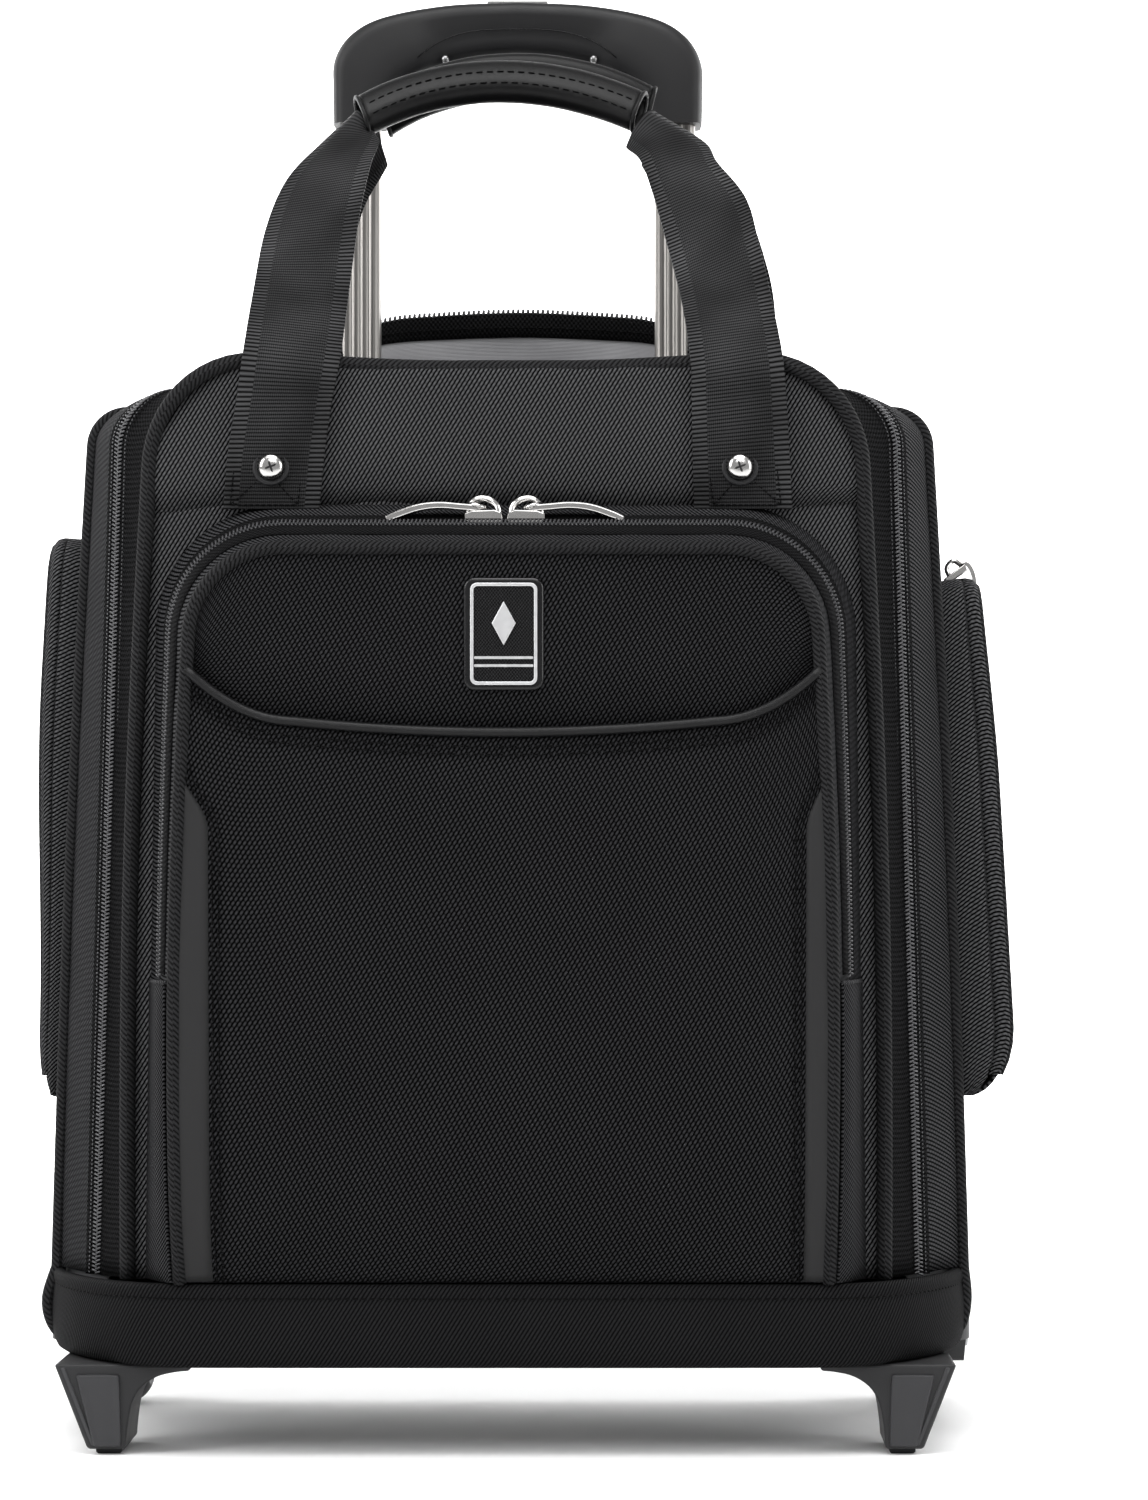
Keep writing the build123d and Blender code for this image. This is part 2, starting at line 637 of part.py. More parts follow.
ANCHOR = 2.4
anchor_corners = [
    (STRAP_FOOT[0] - STRAP / 2, STRAP_FOOT[1]),
    (STRAP_FOOT[0] + STRAP / 2, STRAP_FOOT[1]),
    (STRAP_HEAD[0] + STRAP / 2, STRAP_HEAD[1]),
    (STRAP_HEAD[0] - STRAP / 2, STRAP_HEAD[1]),
]
with BuildPart() as right_front_anchor:
    with BuildSketch(upright(FRONT - 0.2 - ANCHOR)):
        Polygon(*anchor_corners, align=None)
    extrude(amount=-ANCHOR)
with BuildPart() as front_strap_anchors:
    add(right_front_anchor.part)
    mirror(right_front_anchor.part, about=Plane.YZ)
    add(screw_bars(2.3, FRONT - 5, FRONT + 1), mode=Mode.SUBTRACT)
save(front_strap_anchors, "front_strap_anchors")

SCREW_SEAT = FRONT - 0.2 - ANCHOR
with BuildPart() as handle_screws:
    add(screw_bars(2.2, SCREW_SEAT - 0.5, FRONT + WALL + 1))
    add(screw_bars(6.5, FRONT + WALL + 0.1, FRONT + WALL + 1.6))
    add(screw_bars(7.2, SCREW_SEAT - 0.6, SCREW_SEAT - 0.05))
    add(screw_bars(4.8, SCREW_SEAT - 2.6, SCREW_SEAT - 0.5))
    fillet(handle_screws.faces().sort_by(Axis.Y)[0:2].edges(), 1)
    with BuildSketch(upright(SCREW_SEAT - 2.6)):
        with Locations((-SCREW_X, SCREW_Z), (SCREW_X, SCREW_Z)):
            Rectangle(5.4, 1.1)
            Rectangle(1.1, 5.4)
    extrude(amount=-1.3, mode=Mode.SUBTRACT)
save(handle_screws, "handle_screws")

# Front pocket ------------------------------------------------------------------------
# The pocket is drawn whole, as a tapering block on the lid, then cut at its zipper.
POCKET_LOW = LID_LOW + 0.4
pocket_back = arch(POCKET_LOW, POCKET_BACK_HALF, 364, 133, 48)
pocket_face = arch(POCKET_LOW, 126, 349, 121, 36)
POCKET_WALL = 2.2
pocket_back_room = arch(POCKET_LOW + 3, POCKET_BACK_HALF - POCKET_WALL, 361.4, 130.8, 45.8)
pocket_face_room = arch(POCKET_LOW + 3, 126 - POCKET_WALL, 346.4, 118.8, 33.8)
pocket_block = frustum(pocket_face, POCKET_FRONT, pocket_back, FRONT - 0.1)
pocket_room = frustum(pocket_face_room, POCKET_FRONT, pocket_back_room, FRONT - 0.1)


def below_slope(inset):
    """The side-view shape that the pocket keeps, its foot drawn back to the base seam."""
    with BuildPart() as keep:
        with BuildSketch(side_view(-160)):
            Polygon(
                (FRONT + 1, 60),
                (BASE_FRONT + 1 + inset, 60),
                (BASE_FRONT + 1 + inset, POCKET_LOW),
                (POCKET_FRONT + 2.5 + inset, 95),
                (POCKET_FRONT + inset, 140),
                (POCKET_FRONT + inset, 370),
                (FRONT + 1, 370),
                align=None,
            )
        extrude(amount=320)
    return keep.part


pocket_profile = below_slope(0)
pocket_room_profile = below_slope(POCKET_WALL)
COVER_LOW = POCKET_HINGE + 0.4

with BuildPart() as lid_pocket_body:
    add(pocket_block)
    add(pocket_profile, mode=Mode.INTERSECT)
    add(
        slab((-160, 160), (POCKET_FRONT - 5, COVER_BACK), (POCKET_HINGE, 380)),
        mode=Mode.SUBTRACT,
    )
with BuildPart() as pocket_hollow:
    add(pocket_room)
    add(pocket_room_profile, mode=Mode.INTERSECT)
with BuildPart() as lid_pocket_shell:
    add(lid_pocket_body.part)
    add(pocket_hollow.part, mode=Mode.SUBTRACT)
save(lid_pocket_shell, "lid_pocket_body")

SLIP_BACK = -106.5  # front of the cover's own wall, behind the slip pocket
SLIP_GAP = -111.7  # back of the slip pocket's panel
with BuildPart() as pocket_cover:
    add(pocket_block)
    add(
        slab((-160, 160), (SLIP_BACK, COVER_BACK - GAP), (COVER_LOW, 380)),
        mode=Mode.INTERSECT,
    )
with BuildPart() as cover_hollow:
    add(pocket_hollow.part)
    add(
        slab((-160, 160), (SLIP_BACK + POCKET_WALL, 0), (COVER_LOW - 1, 380)),
        mode=Mode.INTERSECT,
    )
with BuildPart() as pocket_rim:
    add(pocket_block)
    add(
        slab((-160, 160), (POCKET_FRONT, SLIP_BACK), (300, 380)),
        mode=Mode.INTERSECT,
    )
    add(pocket_room, mode=Mode.SUBTRACT)
with BuildPart() as pocket_cover_shell:
    add(pocket_cover.part)
    add(cover_hollow.part, mode=Mode.SUBTRACT)
    add(pocket_rim.part)
save(pocket_cover_shell, "pocket_cover")

# Slip pocket: an open-topped panel whose mouth dips in the middle
MOUTH_END = 296.0
MOUTH_MIDDLE = 279.5
MOUTH_SHOULDER = 283.0
with BuildPart() as slip_shape:
    with BuildSketch(upright(POCKET_FRONT)):
        with BuildLine():
            Line((-140, COVER_LOW), (140, COVER_LOW))
            Line((140, COVER_LOW), (140, MOUTH_END + 3))
            Spline(
                (140, MOUTH_END + 3),
                (121, MOUTH_END),
                (92, MOUTH_SHOULDER + 0.5),
                (0, MOUTH_MIDDLE),
                (-92, MOUTH_SHOULDER + 0.5),
                (-121, MOUTH_END),
                (-140, MOUTH_END + 3),
            )
            Line((-140, MOUTH_END + 3), (-140, COVER_LOW))
        make_face()
    extrude(amount=POCKET_FRONT - SLIP_BACK)
with BuildPart() as slip_panel:
    add(slip_shape.part)
    add(pocket_block, mode=Mode.INTERSECT)
    add(
        slab((-117.5, 117.5), (SLIP_GAP, SLIP_BACK + 0.1), (COVER_LOW + 3, 320)),
        mode=Mode.SUBTRACT,
    )
save(slip_panel, "slip_panel")

with BuildPart() as trim_cord:
    with BuildLine(upright(POCKET_FRONT - 0.2)) as mouth:
        Spline(
            (-120, MOUTH_END + 0.6),
            (-92, MOUTH_SHOULDER + 1.8),
            (0, MOUTH_MIDDLE + 1.3),
            (92, MOUTH_SHOULDER + 1.8),
            (120, MOUTH_END + 0.6),
        )
    with BuildSketch(mouth.line ^ 0):
        Circle(1.5)
    sweep()
with BuildPart() as trim_band:
    add(trim_cord.part)
    add(slip_panel.part, mode=Mode.SUBTRACT)
    add(pocket_cover_shell.part, mode=Mode.SUBTRACT)
save(trim_band, "trim_band")

BADGE = (29.5, 41.5)
BADGE_Z = 314.0
with BuildPart() as badge:
    with BuildSketch(upright(SLIP_BACK - 2.6)):
        with Locations((0, BADGE_Z)):
            RectangleRounded(BADGE[0], BADGE[1], 5)
    extrude(amount=-2.5)
    with BuildSketch(upright(SLIP_BACK - 3.2)):
        with Locations((0, BADGE_Z)):
            RectangleRounded(24.5, 37.5, 4)
            RectangleRounded(22.5, 35.5, 3, mode=Mode.SUBTRACT)
    extrude(amount=-0.7)
save(badge, "badge")

# Carry handles -----------------------------------------------------------------------
WRAP_HALF = 57.5


def handle_plane(hinge, apex):
    """The leaning plane of a carry handle: x is +X and y runs from its hinge to its top."""
    lean = Vector(0, apex[0] - hinge[0], apex[1] - hinge[1]).normalized()
    across = Vector(1, 0, 0)
    return Plane(origin=(0, hinge[0], hinge[1]), x_dir=across, z_dir=across.cross(lean))


def straps(plane, reach):
    """Both webbing arms of a carry handle, narrowing where they enter the wrap."""
    with BuildPart() as arm:
        with BuildSketch(plane):
            with BuildLine():
                Line((66.8, 3), (104.2, 3))
                Spline((104.2, 3), (101, 0.5 * reach), (88, 0.74 * reach), (WRAP_HALF, reach - 9))
                Line((WRAP_HALF, reach - 9), (WRAP_HALF, reach - 25))
                Spline((WRAP_HALF, reach - 25), (63, 0.6 * reach), (66.8, 3))
            make_face()
        extrude(amount=1.4, both=True)
    with BuildPart() as pair:
        add(arm.part)
        mirror(arm.part, about=Plane.YZ)
    return pair.part


def wrap(plane, reach):
    """The leather wrap that joins both arms: an arched bar with a soft oblong section."""
    with BuildPart() as bar:
        with BuildLine(plane) as arc:
            ThreePointArc(
                (-WRAP_HALF + 0.1, reach - 16), (0, reach), (WRAP_HALF - 0.1, reach - 16)
            )
        with BuildSketch(Plane(arc.line @ 0, x_dir=plane.z_dir, z_dir=arc.line % 0)):
            RectangleRounded(15, 17.5, 6)
        sweep()
    with BuildPart() as trimmed:
        add(bar.part)
        add(
            slab((-WRAP_HALF + 0.2, WRAP_HALF - 0.2), (-200, 200), (400, 620)),
            mode=Mode.INTERSECT,
        )
    return trimmed.part


FRONT_HINGE = (-84.5, 421.0)
FRONT_APEX = (6.0, 542.0)
REAR_HINGE = (47.0, 414.8)
REAR_APEX = (29.5, 547.0)
front_plane = handle_plane(FRONT_HINGE, FRONT_APEX)
rear_plane = handle_plane(REAR_HINGE, REAR_APEX)


def reach_of(hinge, apex):
    """Distance from a carry handle's hinge line to the middle of its wrap."""
    return Vector(0, apex[0] - hinge[0], apex[1] - hinge[1]).length


front_reach = reach_of(FRONT_HINGE, FRONT_APEX)
rear_reach = reach_of(REAR_HINGE, REAR_APEX)
with BuildPart() as front_straps:
    add(straps(front_plane, front_reach))
save(front_straps, "front_straps")
with BuildPart() as front_wrap:
    add(wrap(front_plane, front_reach))
save(front_wrap, "front_wrap")
with BuildPart() as rear_straps:
    add(straps(rear_plane, rear_reach))
save(rear_straps, "rear_straps")
with BuildPart() as rear_wrap:
    add(wrap(rear_plane, rear_reach))
save(rear_wrap, "rear_wrap")

with BuildPart() as rear_strap_anchors:
    for piece in both_sides((66.8, 104.2), (44.5, 64.5), (BODY_TOP + 0.2, BODY_TOP + 2.6)):
        add(piece)
save(rear_strap_anchors, "rear_strap_anchors")

# Flap of the handle pocket, standing open behind the tubes
FLAP_HALF = 73.0
with BuildPart() as handle_flap:
    with BuildSketch(upright(105.2)):
        with Locations((0, BODY_TOP + 26.5)):
            RectangleRounded(2 * FLAP_HALF, 46, 10)
    extrude(amount=-3)
save(handle_flap, "handle_flap")

# Side pocket covers: the part of each pocket outside its zipper -----------------------
cover_inner = side_pocket_block(-1, SIDE_LENGTH - 2, 2, SIDE_POCKET_DEPTH - 2)


def on_face(edge):
    """Whether an edge bounds the pocket's outer face, away from its foot."""
    middle = edge.center()
    clear = middle.X > body_half(middle.Z) + 10 and middle.Z > SLOT_LOW + 20
    outside = side_plane.to_local_coords(middle).Z > SIDE_POCKET_DEPTH - 1
    return clear and outside and abs(edge.tangent_at(0.5).dot(LEAN)) < 0.01


with BuildPart() as right_pocket_cover:
    with BuildSketch(side_plane.offset(SIDE_ZIPPER + ZIP_GAP)):
        with Locations((0, SIDE_LENGTH / 2)):
            Rectangle(SIDE_WIDTH, SIDE_LENGTH)
    extrude(amount=SIDE_POCKET_DEPTH - SIDE_ZIPPER - ZIP_GAP)
    corners = right_pocket_cover.edges().filter_by(stands_out)
    fillet(corners.group_by(Axis.Z)[-1], 14)
    fillet(right_pocket_cover.edges().filter_by(on_face), 5)
    add(cover_inner, mode=Mode.SUBTRACT)
save(right_pocket_cover, "right_pocket_cover")
with BuildPart() as left_pocket_cover:
    mirror(right_pocket_cover.part, about=Plane.YZ)
save(left_pocket_cover, "left_pocket_cover")

# Sliders and pulls -------------------------------------------------------------------
# Each slider is drawn on its own plane: x is the way its pull lies and z stands off the bag.
PIN_X = 2.9
PIN_Z = 4.2
SLIDER_BASE = 2.6


def pin_bar(plane, radius, length):
    """A round bar along a slider plane's y, at the pin that its pull turns on."""
    middle = plane.from_local_coords((PIN_X, -length / 2, PIN_Z))
    with BuildPart() as bar:
        with BuildSketch(Plane(origin=middle, x_dir=plane.x_dir, z_dir=plane.y_dir)):
            Circle(radius)
        extrude(amount=length)
    return bar.part


def slider(plane):
    """A zipper slider: its body and the two cheeks that hold the pull's pin."""
    with BuildPart() as body:
        with BuildSketch(plane):
            Rectangle(9, 7.2)
        extrude(amount=SLIDER_BASE)
        with BuildSketch(plane.offset(SLIDER_BASE)):
            with Locations((1.5, -1.75), (1.5, 1.75)):
                Rectangle(6, 0.9)
        extrude(amount=3.4)
    with BuildPart() as drilled:
        add(body.part)
        add(pin_bar(plane, 1.1, 6), mode=Mode.SUBTRACT)
    return drilled.part


def pull_neck(plane):
    """The pin, eye and neck that join a pull to its slider."""
    with BuildPart() as neck:
        add(pin_bar(plane, 0.8, 4.2))
        add(pin_bar(plane, 1.4, 2.2))
        with BuildSketch(plane.offset(PIN_Z - 1)):
            with Locations((PIN_X + 2.5, 0)):
                Rectangle(5, 2.2)
        extrude(amount=2)
    return neck.part


def arched_pull(plane):
    """A long pull that bows away from the bag between its ends."""
    edge = plane.from_local_coords((0, 3.5, 0))
    with BuildPart() as tab:
        with BuildSketch(Plane(origin=edge, x_dir=plane.x_dir, z_dir=-plane.y_dir)):
            with BuildLine():
                bow = ThreePointArc(
                    (PIN_X + 4.5, PIN_Z + 0.4), (PIN_X + 19, PIN_Z + 3), (PIN_X + 35.5, PIN_Z + 0.6)
                )
            trace(bow, 2.4)
        extrude(amount=7)
        add(pull_neck(plane))
    return tab.part


def looped_pull(plane):
    """A short pull with a long eye through it."""
    with BuildPart() as tab:
        with BuildSketch(plane.offset(PIN_Z - 1)):
            with Locations((PIN_X + 17, 0)):
                RectangleRounded(26, 7, 3)
                RectangleRounded(20, 3, 1.4, mode=Mode.SUBTRACT)
        extrude(amount=2)
        add(pull_neck(plane))
    return tab.part


def hanging_pull(plane):
    """A pull that reaches over the edge of a pocket and hangs down its outer face."""
    across = plane.from_local_coords((0, 3.5, 0))
    with BuildPart() as tab:
        with BuildSketch(Plane(origin=across, x_dir=plane.x_dir, z_dir=-plane.y_dir)):
            with BuildLine():
                Polyline((6.4, 5.2), (8.6, 5.2), (9.6, 3.6), (9.6, -26))
                Polyline((9.6, -26), (7.6, -26), (7.6, 3.2), (6.4, 3.2), (6.4, 5.2))
            make_face()
        extrude(amount=7)
        eye = plane.from_local_coords((5, 0, -12))
        with BuildSketch(Plane(origin=eye, x_dir=plane.y_dir, z_dir=plane.x_dir)):
            RectangleRounded(3, 20, 1.4)
        extrude(amount=6, mode=Mode.SUBTRACT)
        add(pull_neck(plane))
    return tab.part


# Front pocket: two sliders side by side at the middle, their pulls lying outwards
right_front_plane = Plane(origin=(9.6, -92.7, 360.5), x_dir=(1, 0, 0), z_dir=(0, 0, 1))
with BuildPart() as right_front_slider:
    add(slider(right_front_plane))
save(right_front_slider, "right_front_slider")
with BuildPart() as left_front_slider:
    mirror(right_front_slider.part, about=Plane.YZ)
save(left_front_slider, "left_front_slider")
with BuildPart() as right_front_pull:
    add(arched_pull(right_front_plane))
save(right_front_pull, "right_front_pull")
with BuildPart() as left_front_pull:
    mirror(right_front_pull.part, about=Plane.YZ)
save(left_front_pull, "left_front_pull")

# Right side pocket: its slider is on the top run and its pull hangs over the cover
top_spot = side_plane.from_local_coords((-26, SIDE_LENGTH + 0.6, SIDE_ZIPPER))
right_side_plane = Plane(origin=top_spot, x_dir=LEAN, z_dir=side_plane.y_dir)
with BuildPart() as right_side_slider:
    add(slider(right_side_plane))
save(right_side_slider, "right_side_slider")
with BuildPart() as right_side_pull:
    add(hanging_pull(right_side_plane))
save(right_side_pull, "right_side_pull")

# Left side pocket: its slider is at the top of the rear edge, drawn here on the right panel
rear_spot = side_plane.from_local_coords(
    (SIDE_WIDTH / 2 + 0.6, SIDE_LENGTH - 14, SIDE_ZIPPER)
)
rear_edge_plane = Plane(origin=rear_spot, x_dir=-side_plane.y_dir, z_dir=(0, 1, 0))
with BuildPart() as left_side_slider:
    mirror(slider(rear_edge_plane), about=Plane.YZ)
save(left_side_slider, "left_side_slider")
with BuildPart() as left_side_pull:
    mirror(looped_pull(rear_edge_plane), about=Plane.YZ)
save(left_side_pull, "left_side_pull")

# Main zipper: one slider at the middle of the top, its pull lying to the side
main_plane = Plane(origin=(0, -57.6, 414.2), x_dir=(1, 0, 0), z_dir=(0, 0, 1))
with BuildPart() as main_slider:
    add(slider(main_plane))
save(main_slider, "main_slider")
with BuildPart() as main_pull:
    add(arched_pull(main_plane))
save(main_pull, "main_pull")
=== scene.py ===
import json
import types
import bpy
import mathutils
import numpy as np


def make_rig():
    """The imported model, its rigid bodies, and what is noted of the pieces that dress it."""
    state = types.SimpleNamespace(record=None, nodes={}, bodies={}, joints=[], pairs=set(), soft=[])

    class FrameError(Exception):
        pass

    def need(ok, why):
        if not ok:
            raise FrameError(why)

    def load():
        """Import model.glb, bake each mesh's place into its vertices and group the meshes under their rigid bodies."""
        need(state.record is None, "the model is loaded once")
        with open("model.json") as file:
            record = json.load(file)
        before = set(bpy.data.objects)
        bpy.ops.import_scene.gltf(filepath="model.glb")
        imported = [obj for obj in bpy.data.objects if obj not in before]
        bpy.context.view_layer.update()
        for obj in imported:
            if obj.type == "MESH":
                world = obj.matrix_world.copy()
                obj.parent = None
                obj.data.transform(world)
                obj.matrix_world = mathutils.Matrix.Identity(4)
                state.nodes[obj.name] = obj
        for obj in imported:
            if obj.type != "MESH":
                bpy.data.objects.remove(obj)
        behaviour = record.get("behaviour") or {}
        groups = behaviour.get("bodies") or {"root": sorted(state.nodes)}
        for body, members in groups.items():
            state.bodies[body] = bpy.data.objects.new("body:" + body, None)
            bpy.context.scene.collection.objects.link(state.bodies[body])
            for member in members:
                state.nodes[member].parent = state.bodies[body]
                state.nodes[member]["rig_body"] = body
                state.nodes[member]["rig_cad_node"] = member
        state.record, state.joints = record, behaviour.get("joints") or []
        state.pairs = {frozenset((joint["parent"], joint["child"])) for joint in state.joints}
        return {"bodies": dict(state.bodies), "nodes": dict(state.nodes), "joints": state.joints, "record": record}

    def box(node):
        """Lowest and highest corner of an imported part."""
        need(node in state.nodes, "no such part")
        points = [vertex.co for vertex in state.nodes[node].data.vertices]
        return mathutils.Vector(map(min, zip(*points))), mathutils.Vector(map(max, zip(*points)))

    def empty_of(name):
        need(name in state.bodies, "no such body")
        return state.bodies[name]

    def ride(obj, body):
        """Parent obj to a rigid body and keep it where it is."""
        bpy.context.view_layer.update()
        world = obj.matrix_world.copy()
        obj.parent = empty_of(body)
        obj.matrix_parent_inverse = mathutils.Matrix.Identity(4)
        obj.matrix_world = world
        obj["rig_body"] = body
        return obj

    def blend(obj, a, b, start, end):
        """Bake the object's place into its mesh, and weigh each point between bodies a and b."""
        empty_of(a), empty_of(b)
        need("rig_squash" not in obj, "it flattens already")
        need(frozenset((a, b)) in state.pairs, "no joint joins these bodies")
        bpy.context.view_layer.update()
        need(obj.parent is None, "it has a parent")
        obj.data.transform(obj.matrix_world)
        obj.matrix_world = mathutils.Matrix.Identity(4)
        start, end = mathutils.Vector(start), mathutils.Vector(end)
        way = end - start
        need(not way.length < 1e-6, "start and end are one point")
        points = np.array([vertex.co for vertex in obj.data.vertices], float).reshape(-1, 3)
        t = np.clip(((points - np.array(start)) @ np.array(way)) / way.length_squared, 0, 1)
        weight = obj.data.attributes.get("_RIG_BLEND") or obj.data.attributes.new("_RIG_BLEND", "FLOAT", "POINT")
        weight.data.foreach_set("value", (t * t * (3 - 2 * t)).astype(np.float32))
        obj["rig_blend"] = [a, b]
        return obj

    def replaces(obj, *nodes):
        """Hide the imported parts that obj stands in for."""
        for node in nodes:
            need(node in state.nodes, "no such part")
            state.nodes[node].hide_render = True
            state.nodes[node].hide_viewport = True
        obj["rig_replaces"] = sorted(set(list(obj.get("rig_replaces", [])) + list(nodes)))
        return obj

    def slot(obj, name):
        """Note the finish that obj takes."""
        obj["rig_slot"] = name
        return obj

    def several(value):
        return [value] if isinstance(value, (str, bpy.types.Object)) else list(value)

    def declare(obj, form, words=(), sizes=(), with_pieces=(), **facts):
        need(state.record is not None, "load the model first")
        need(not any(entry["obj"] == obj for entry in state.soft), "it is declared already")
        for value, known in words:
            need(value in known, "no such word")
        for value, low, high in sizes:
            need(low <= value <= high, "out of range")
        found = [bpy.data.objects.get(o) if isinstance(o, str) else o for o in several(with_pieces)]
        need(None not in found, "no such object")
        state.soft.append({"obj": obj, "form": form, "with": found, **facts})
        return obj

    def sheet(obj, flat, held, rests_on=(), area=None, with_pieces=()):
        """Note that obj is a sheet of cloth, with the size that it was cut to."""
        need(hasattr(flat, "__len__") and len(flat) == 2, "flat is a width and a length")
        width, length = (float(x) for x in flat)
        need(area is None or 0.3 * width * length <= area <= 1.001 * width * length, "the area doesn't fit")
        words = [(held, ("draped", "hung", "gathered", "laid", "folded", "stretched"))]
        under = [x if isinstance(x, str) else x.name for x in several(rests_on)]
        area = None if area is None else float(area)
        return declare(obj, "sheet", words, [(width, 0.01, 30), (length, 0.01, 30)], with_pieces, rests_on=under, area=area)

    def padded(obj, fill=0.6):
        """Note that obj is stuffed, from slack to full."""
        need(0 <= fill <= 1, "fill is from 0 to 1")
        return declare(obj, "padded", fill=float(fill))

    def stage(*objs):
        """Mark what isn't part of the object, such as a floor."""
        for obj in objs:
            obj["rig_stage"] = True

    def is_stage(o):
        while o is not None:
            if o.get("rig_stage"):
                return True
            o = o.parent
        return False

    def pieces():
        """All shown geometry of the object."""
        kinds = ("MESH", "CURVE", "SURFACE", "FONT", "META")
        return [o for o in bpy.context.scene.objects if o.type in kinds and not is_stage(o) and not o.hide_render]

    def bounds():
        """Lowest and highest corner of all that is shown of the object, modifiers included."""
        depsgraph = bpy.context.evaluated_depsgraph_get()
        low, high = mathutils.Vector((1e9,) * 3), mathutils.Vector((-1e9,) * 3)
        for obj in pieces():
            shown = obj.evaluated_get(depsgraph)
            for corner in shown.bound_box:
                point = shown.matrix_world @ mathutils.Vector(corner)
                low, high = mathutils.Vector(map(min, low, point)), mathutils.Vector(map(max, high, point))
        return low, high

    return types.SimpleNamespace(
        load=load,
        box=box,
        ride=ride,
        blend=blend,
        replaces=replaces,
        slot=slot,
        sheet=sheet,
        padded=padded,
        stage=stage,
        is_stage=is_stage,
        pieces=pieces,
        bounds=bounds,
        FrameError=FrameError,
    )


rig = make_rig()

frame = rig.load()

import json
import math

import bpy
from mathutils import Vector, noise

cad_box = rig.bounds()
MM = 0.001
scene = bpy.context.scene

# Driving sizes in millimetres, in the frame's own axes ---


def edges(node):
    """A CAD node's lowest and highest corner in millimetres."""
    low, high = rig.box(node)
    return low / MM, high / MM


SEAM = edges("base_band")[1].z
PANEL_Y, LID_TOP = edges("lid_panel")[0].y, edges("lid_panel")[1].z
ZIP_Y = edges("front_gusset")[0].y
BACK_Y = edges("back_panel")[1].y
SHOULDER_Y = -25.0
FACE_Y = edges("slip_panel")[0].y
FACE_TOP = edges("pocket_cover")[1].z - 9.0
TUBE_X, TUBE_Y = 66.0, 85.0
CUP_HALF, CUP_Y = 84.4, (66.6, 107.4)
HOUSING_Y, HOUSING_TOP = 51.6, 74.0
SIDES = ((-1, "left"), (1, "right"))

# Small geometry helpers ---


def lerp(a, b, t):
    return a + (b - a) * t


def even(a, b, count):
    """Evenly spaced numbers from a to b, both included, with count gaps between them."""
    return [lerp(a, b, k / count) for k in range(count + 1)]


def smooth(t):
    t = min(1.0, max(0.0, t))
    return t * t * (3 - 2 * t)


def at(x, y, z):
    return Vector((x, y, z))


def curve_through(points, count):
    """Evenly timed points on a smooth curve through the given ones (Catmull-Rom)."""
    pts = [Vector(p) for p in points]
    pts = [2 * pts[0] - pts[1]] + pts + [2 * pts[-1] - pts[-2]]
    spans = len(pts) - 3
    out = []
    for u in even(0, spans, count - 1):
        k = min(int(u), spans - 1)
        t = u - k
        a, b, c, d = pts[k : k + 4]
        bend = (2 * a - 5 * b + 4 * c - d) * t * t + (3 * b - a - 3 * c + d) * t * t * t
        out.append(0.5 * (2 * b + (c - a) * t + bend))
    return out


def outline_through(points, count=22):
    """A smooth flat outline through (x, z) points, as Vectors in the plane y = 0."""
    return curve_through([(x, 0, z) for x, z in points], count)


def ripple(point, size, seed=0.0):
    """Smooth noise from -1 to 1 at a place, with features of the given size in mm."""
    return noise.noise(Vector(point) / size + at(seed, seed * 1.7, -seed))


def squared(turn, power):
    """Cosine and sine of an angle, pushed out from a circle towards a rounded square."""
    c, d = math.cos(turn), math.sin(turn)
    return math.copysign(abs(c) ** power, c), math.copysign(abs(d) ** power, d)


def arch(low, low_half, high, high_half, radius, bow=0.0, counts=(44, 12)):
    """A U-shaped outline from the left foot over the top to the right foot, as (x, z)."""
    rise = Vector((low_half - high_half, high - low)).normalized()
    inward = Vector((rise.y, -rise.x))
    back = -radius * (1 - rise.x) / rise.y
    centre = Vector((-high_half, high)) + inward * radius + rise * back
    foot, shoulder = Vector((-low_half, low)), centre - inward * radius
    left = []
    for i in range(counts[0]):
        t = i / counts[0]
        left.append(foot.lerp(shoulder, t) - Vector((bow * math.sin(math.pi * t), 0)))
    start = math.atan2(-inward.y, -inward.x)
    for angle in even(start, math.pi / 2, counts[1])[:-1]:
        left.append(centre + radius * Vector((math.cos(angle), math.sin(angle))))
    half = abs(centre.x)
    inner = min(CUP_HALF, half - 4)
    spans = ((-half, -inner, 8), (-inner, inner, 20), (inner, half, 8))
    top = [Vector((x, high)) for a, b, n in spans for x in even(a, b, n)[:-1]]
    return left + top + [Vector((half, high))] + [Vector((-p.x, p.y)) for p in reversed(left)]


HALF_COUNT = 57


def half_at(outline, height):
    """Half-width of an arch outline at a height."""
    for a, b in zip(outline, outline[1:]):
        if a.y <= height <= b.y and b.y > a.y:
            return -lerp(a.x, b.x, (height - a.y) / (b.y - a.y))
    return -outline[0].x if height < outline[0].y else abs(outline[HALF_COUNT - 1].x)


def ring(outline, y):
    """An outline stood up at one depth."""
    return [at(p.x, y, p.y) for p in outline]


def normals_of(rows):
    """Unit normals of a grid of points, by central differences."""
    out = []
    for i, row in enumerate(rows):
        line = []
        for j, _ in enumerate(row):
            along = row[min(j + 1, len(row) - 1)] - row[max(j - 1, 0)]
            across = rows[min(i + 1, len(rows) - 1)][j] - rows[max(i - 1, 0)][j]
            n = along.cross(across)
            line.append(n.normalized() if n.length > 1e-9 else at(0, -1, 0))
        out.append(line)
    return out


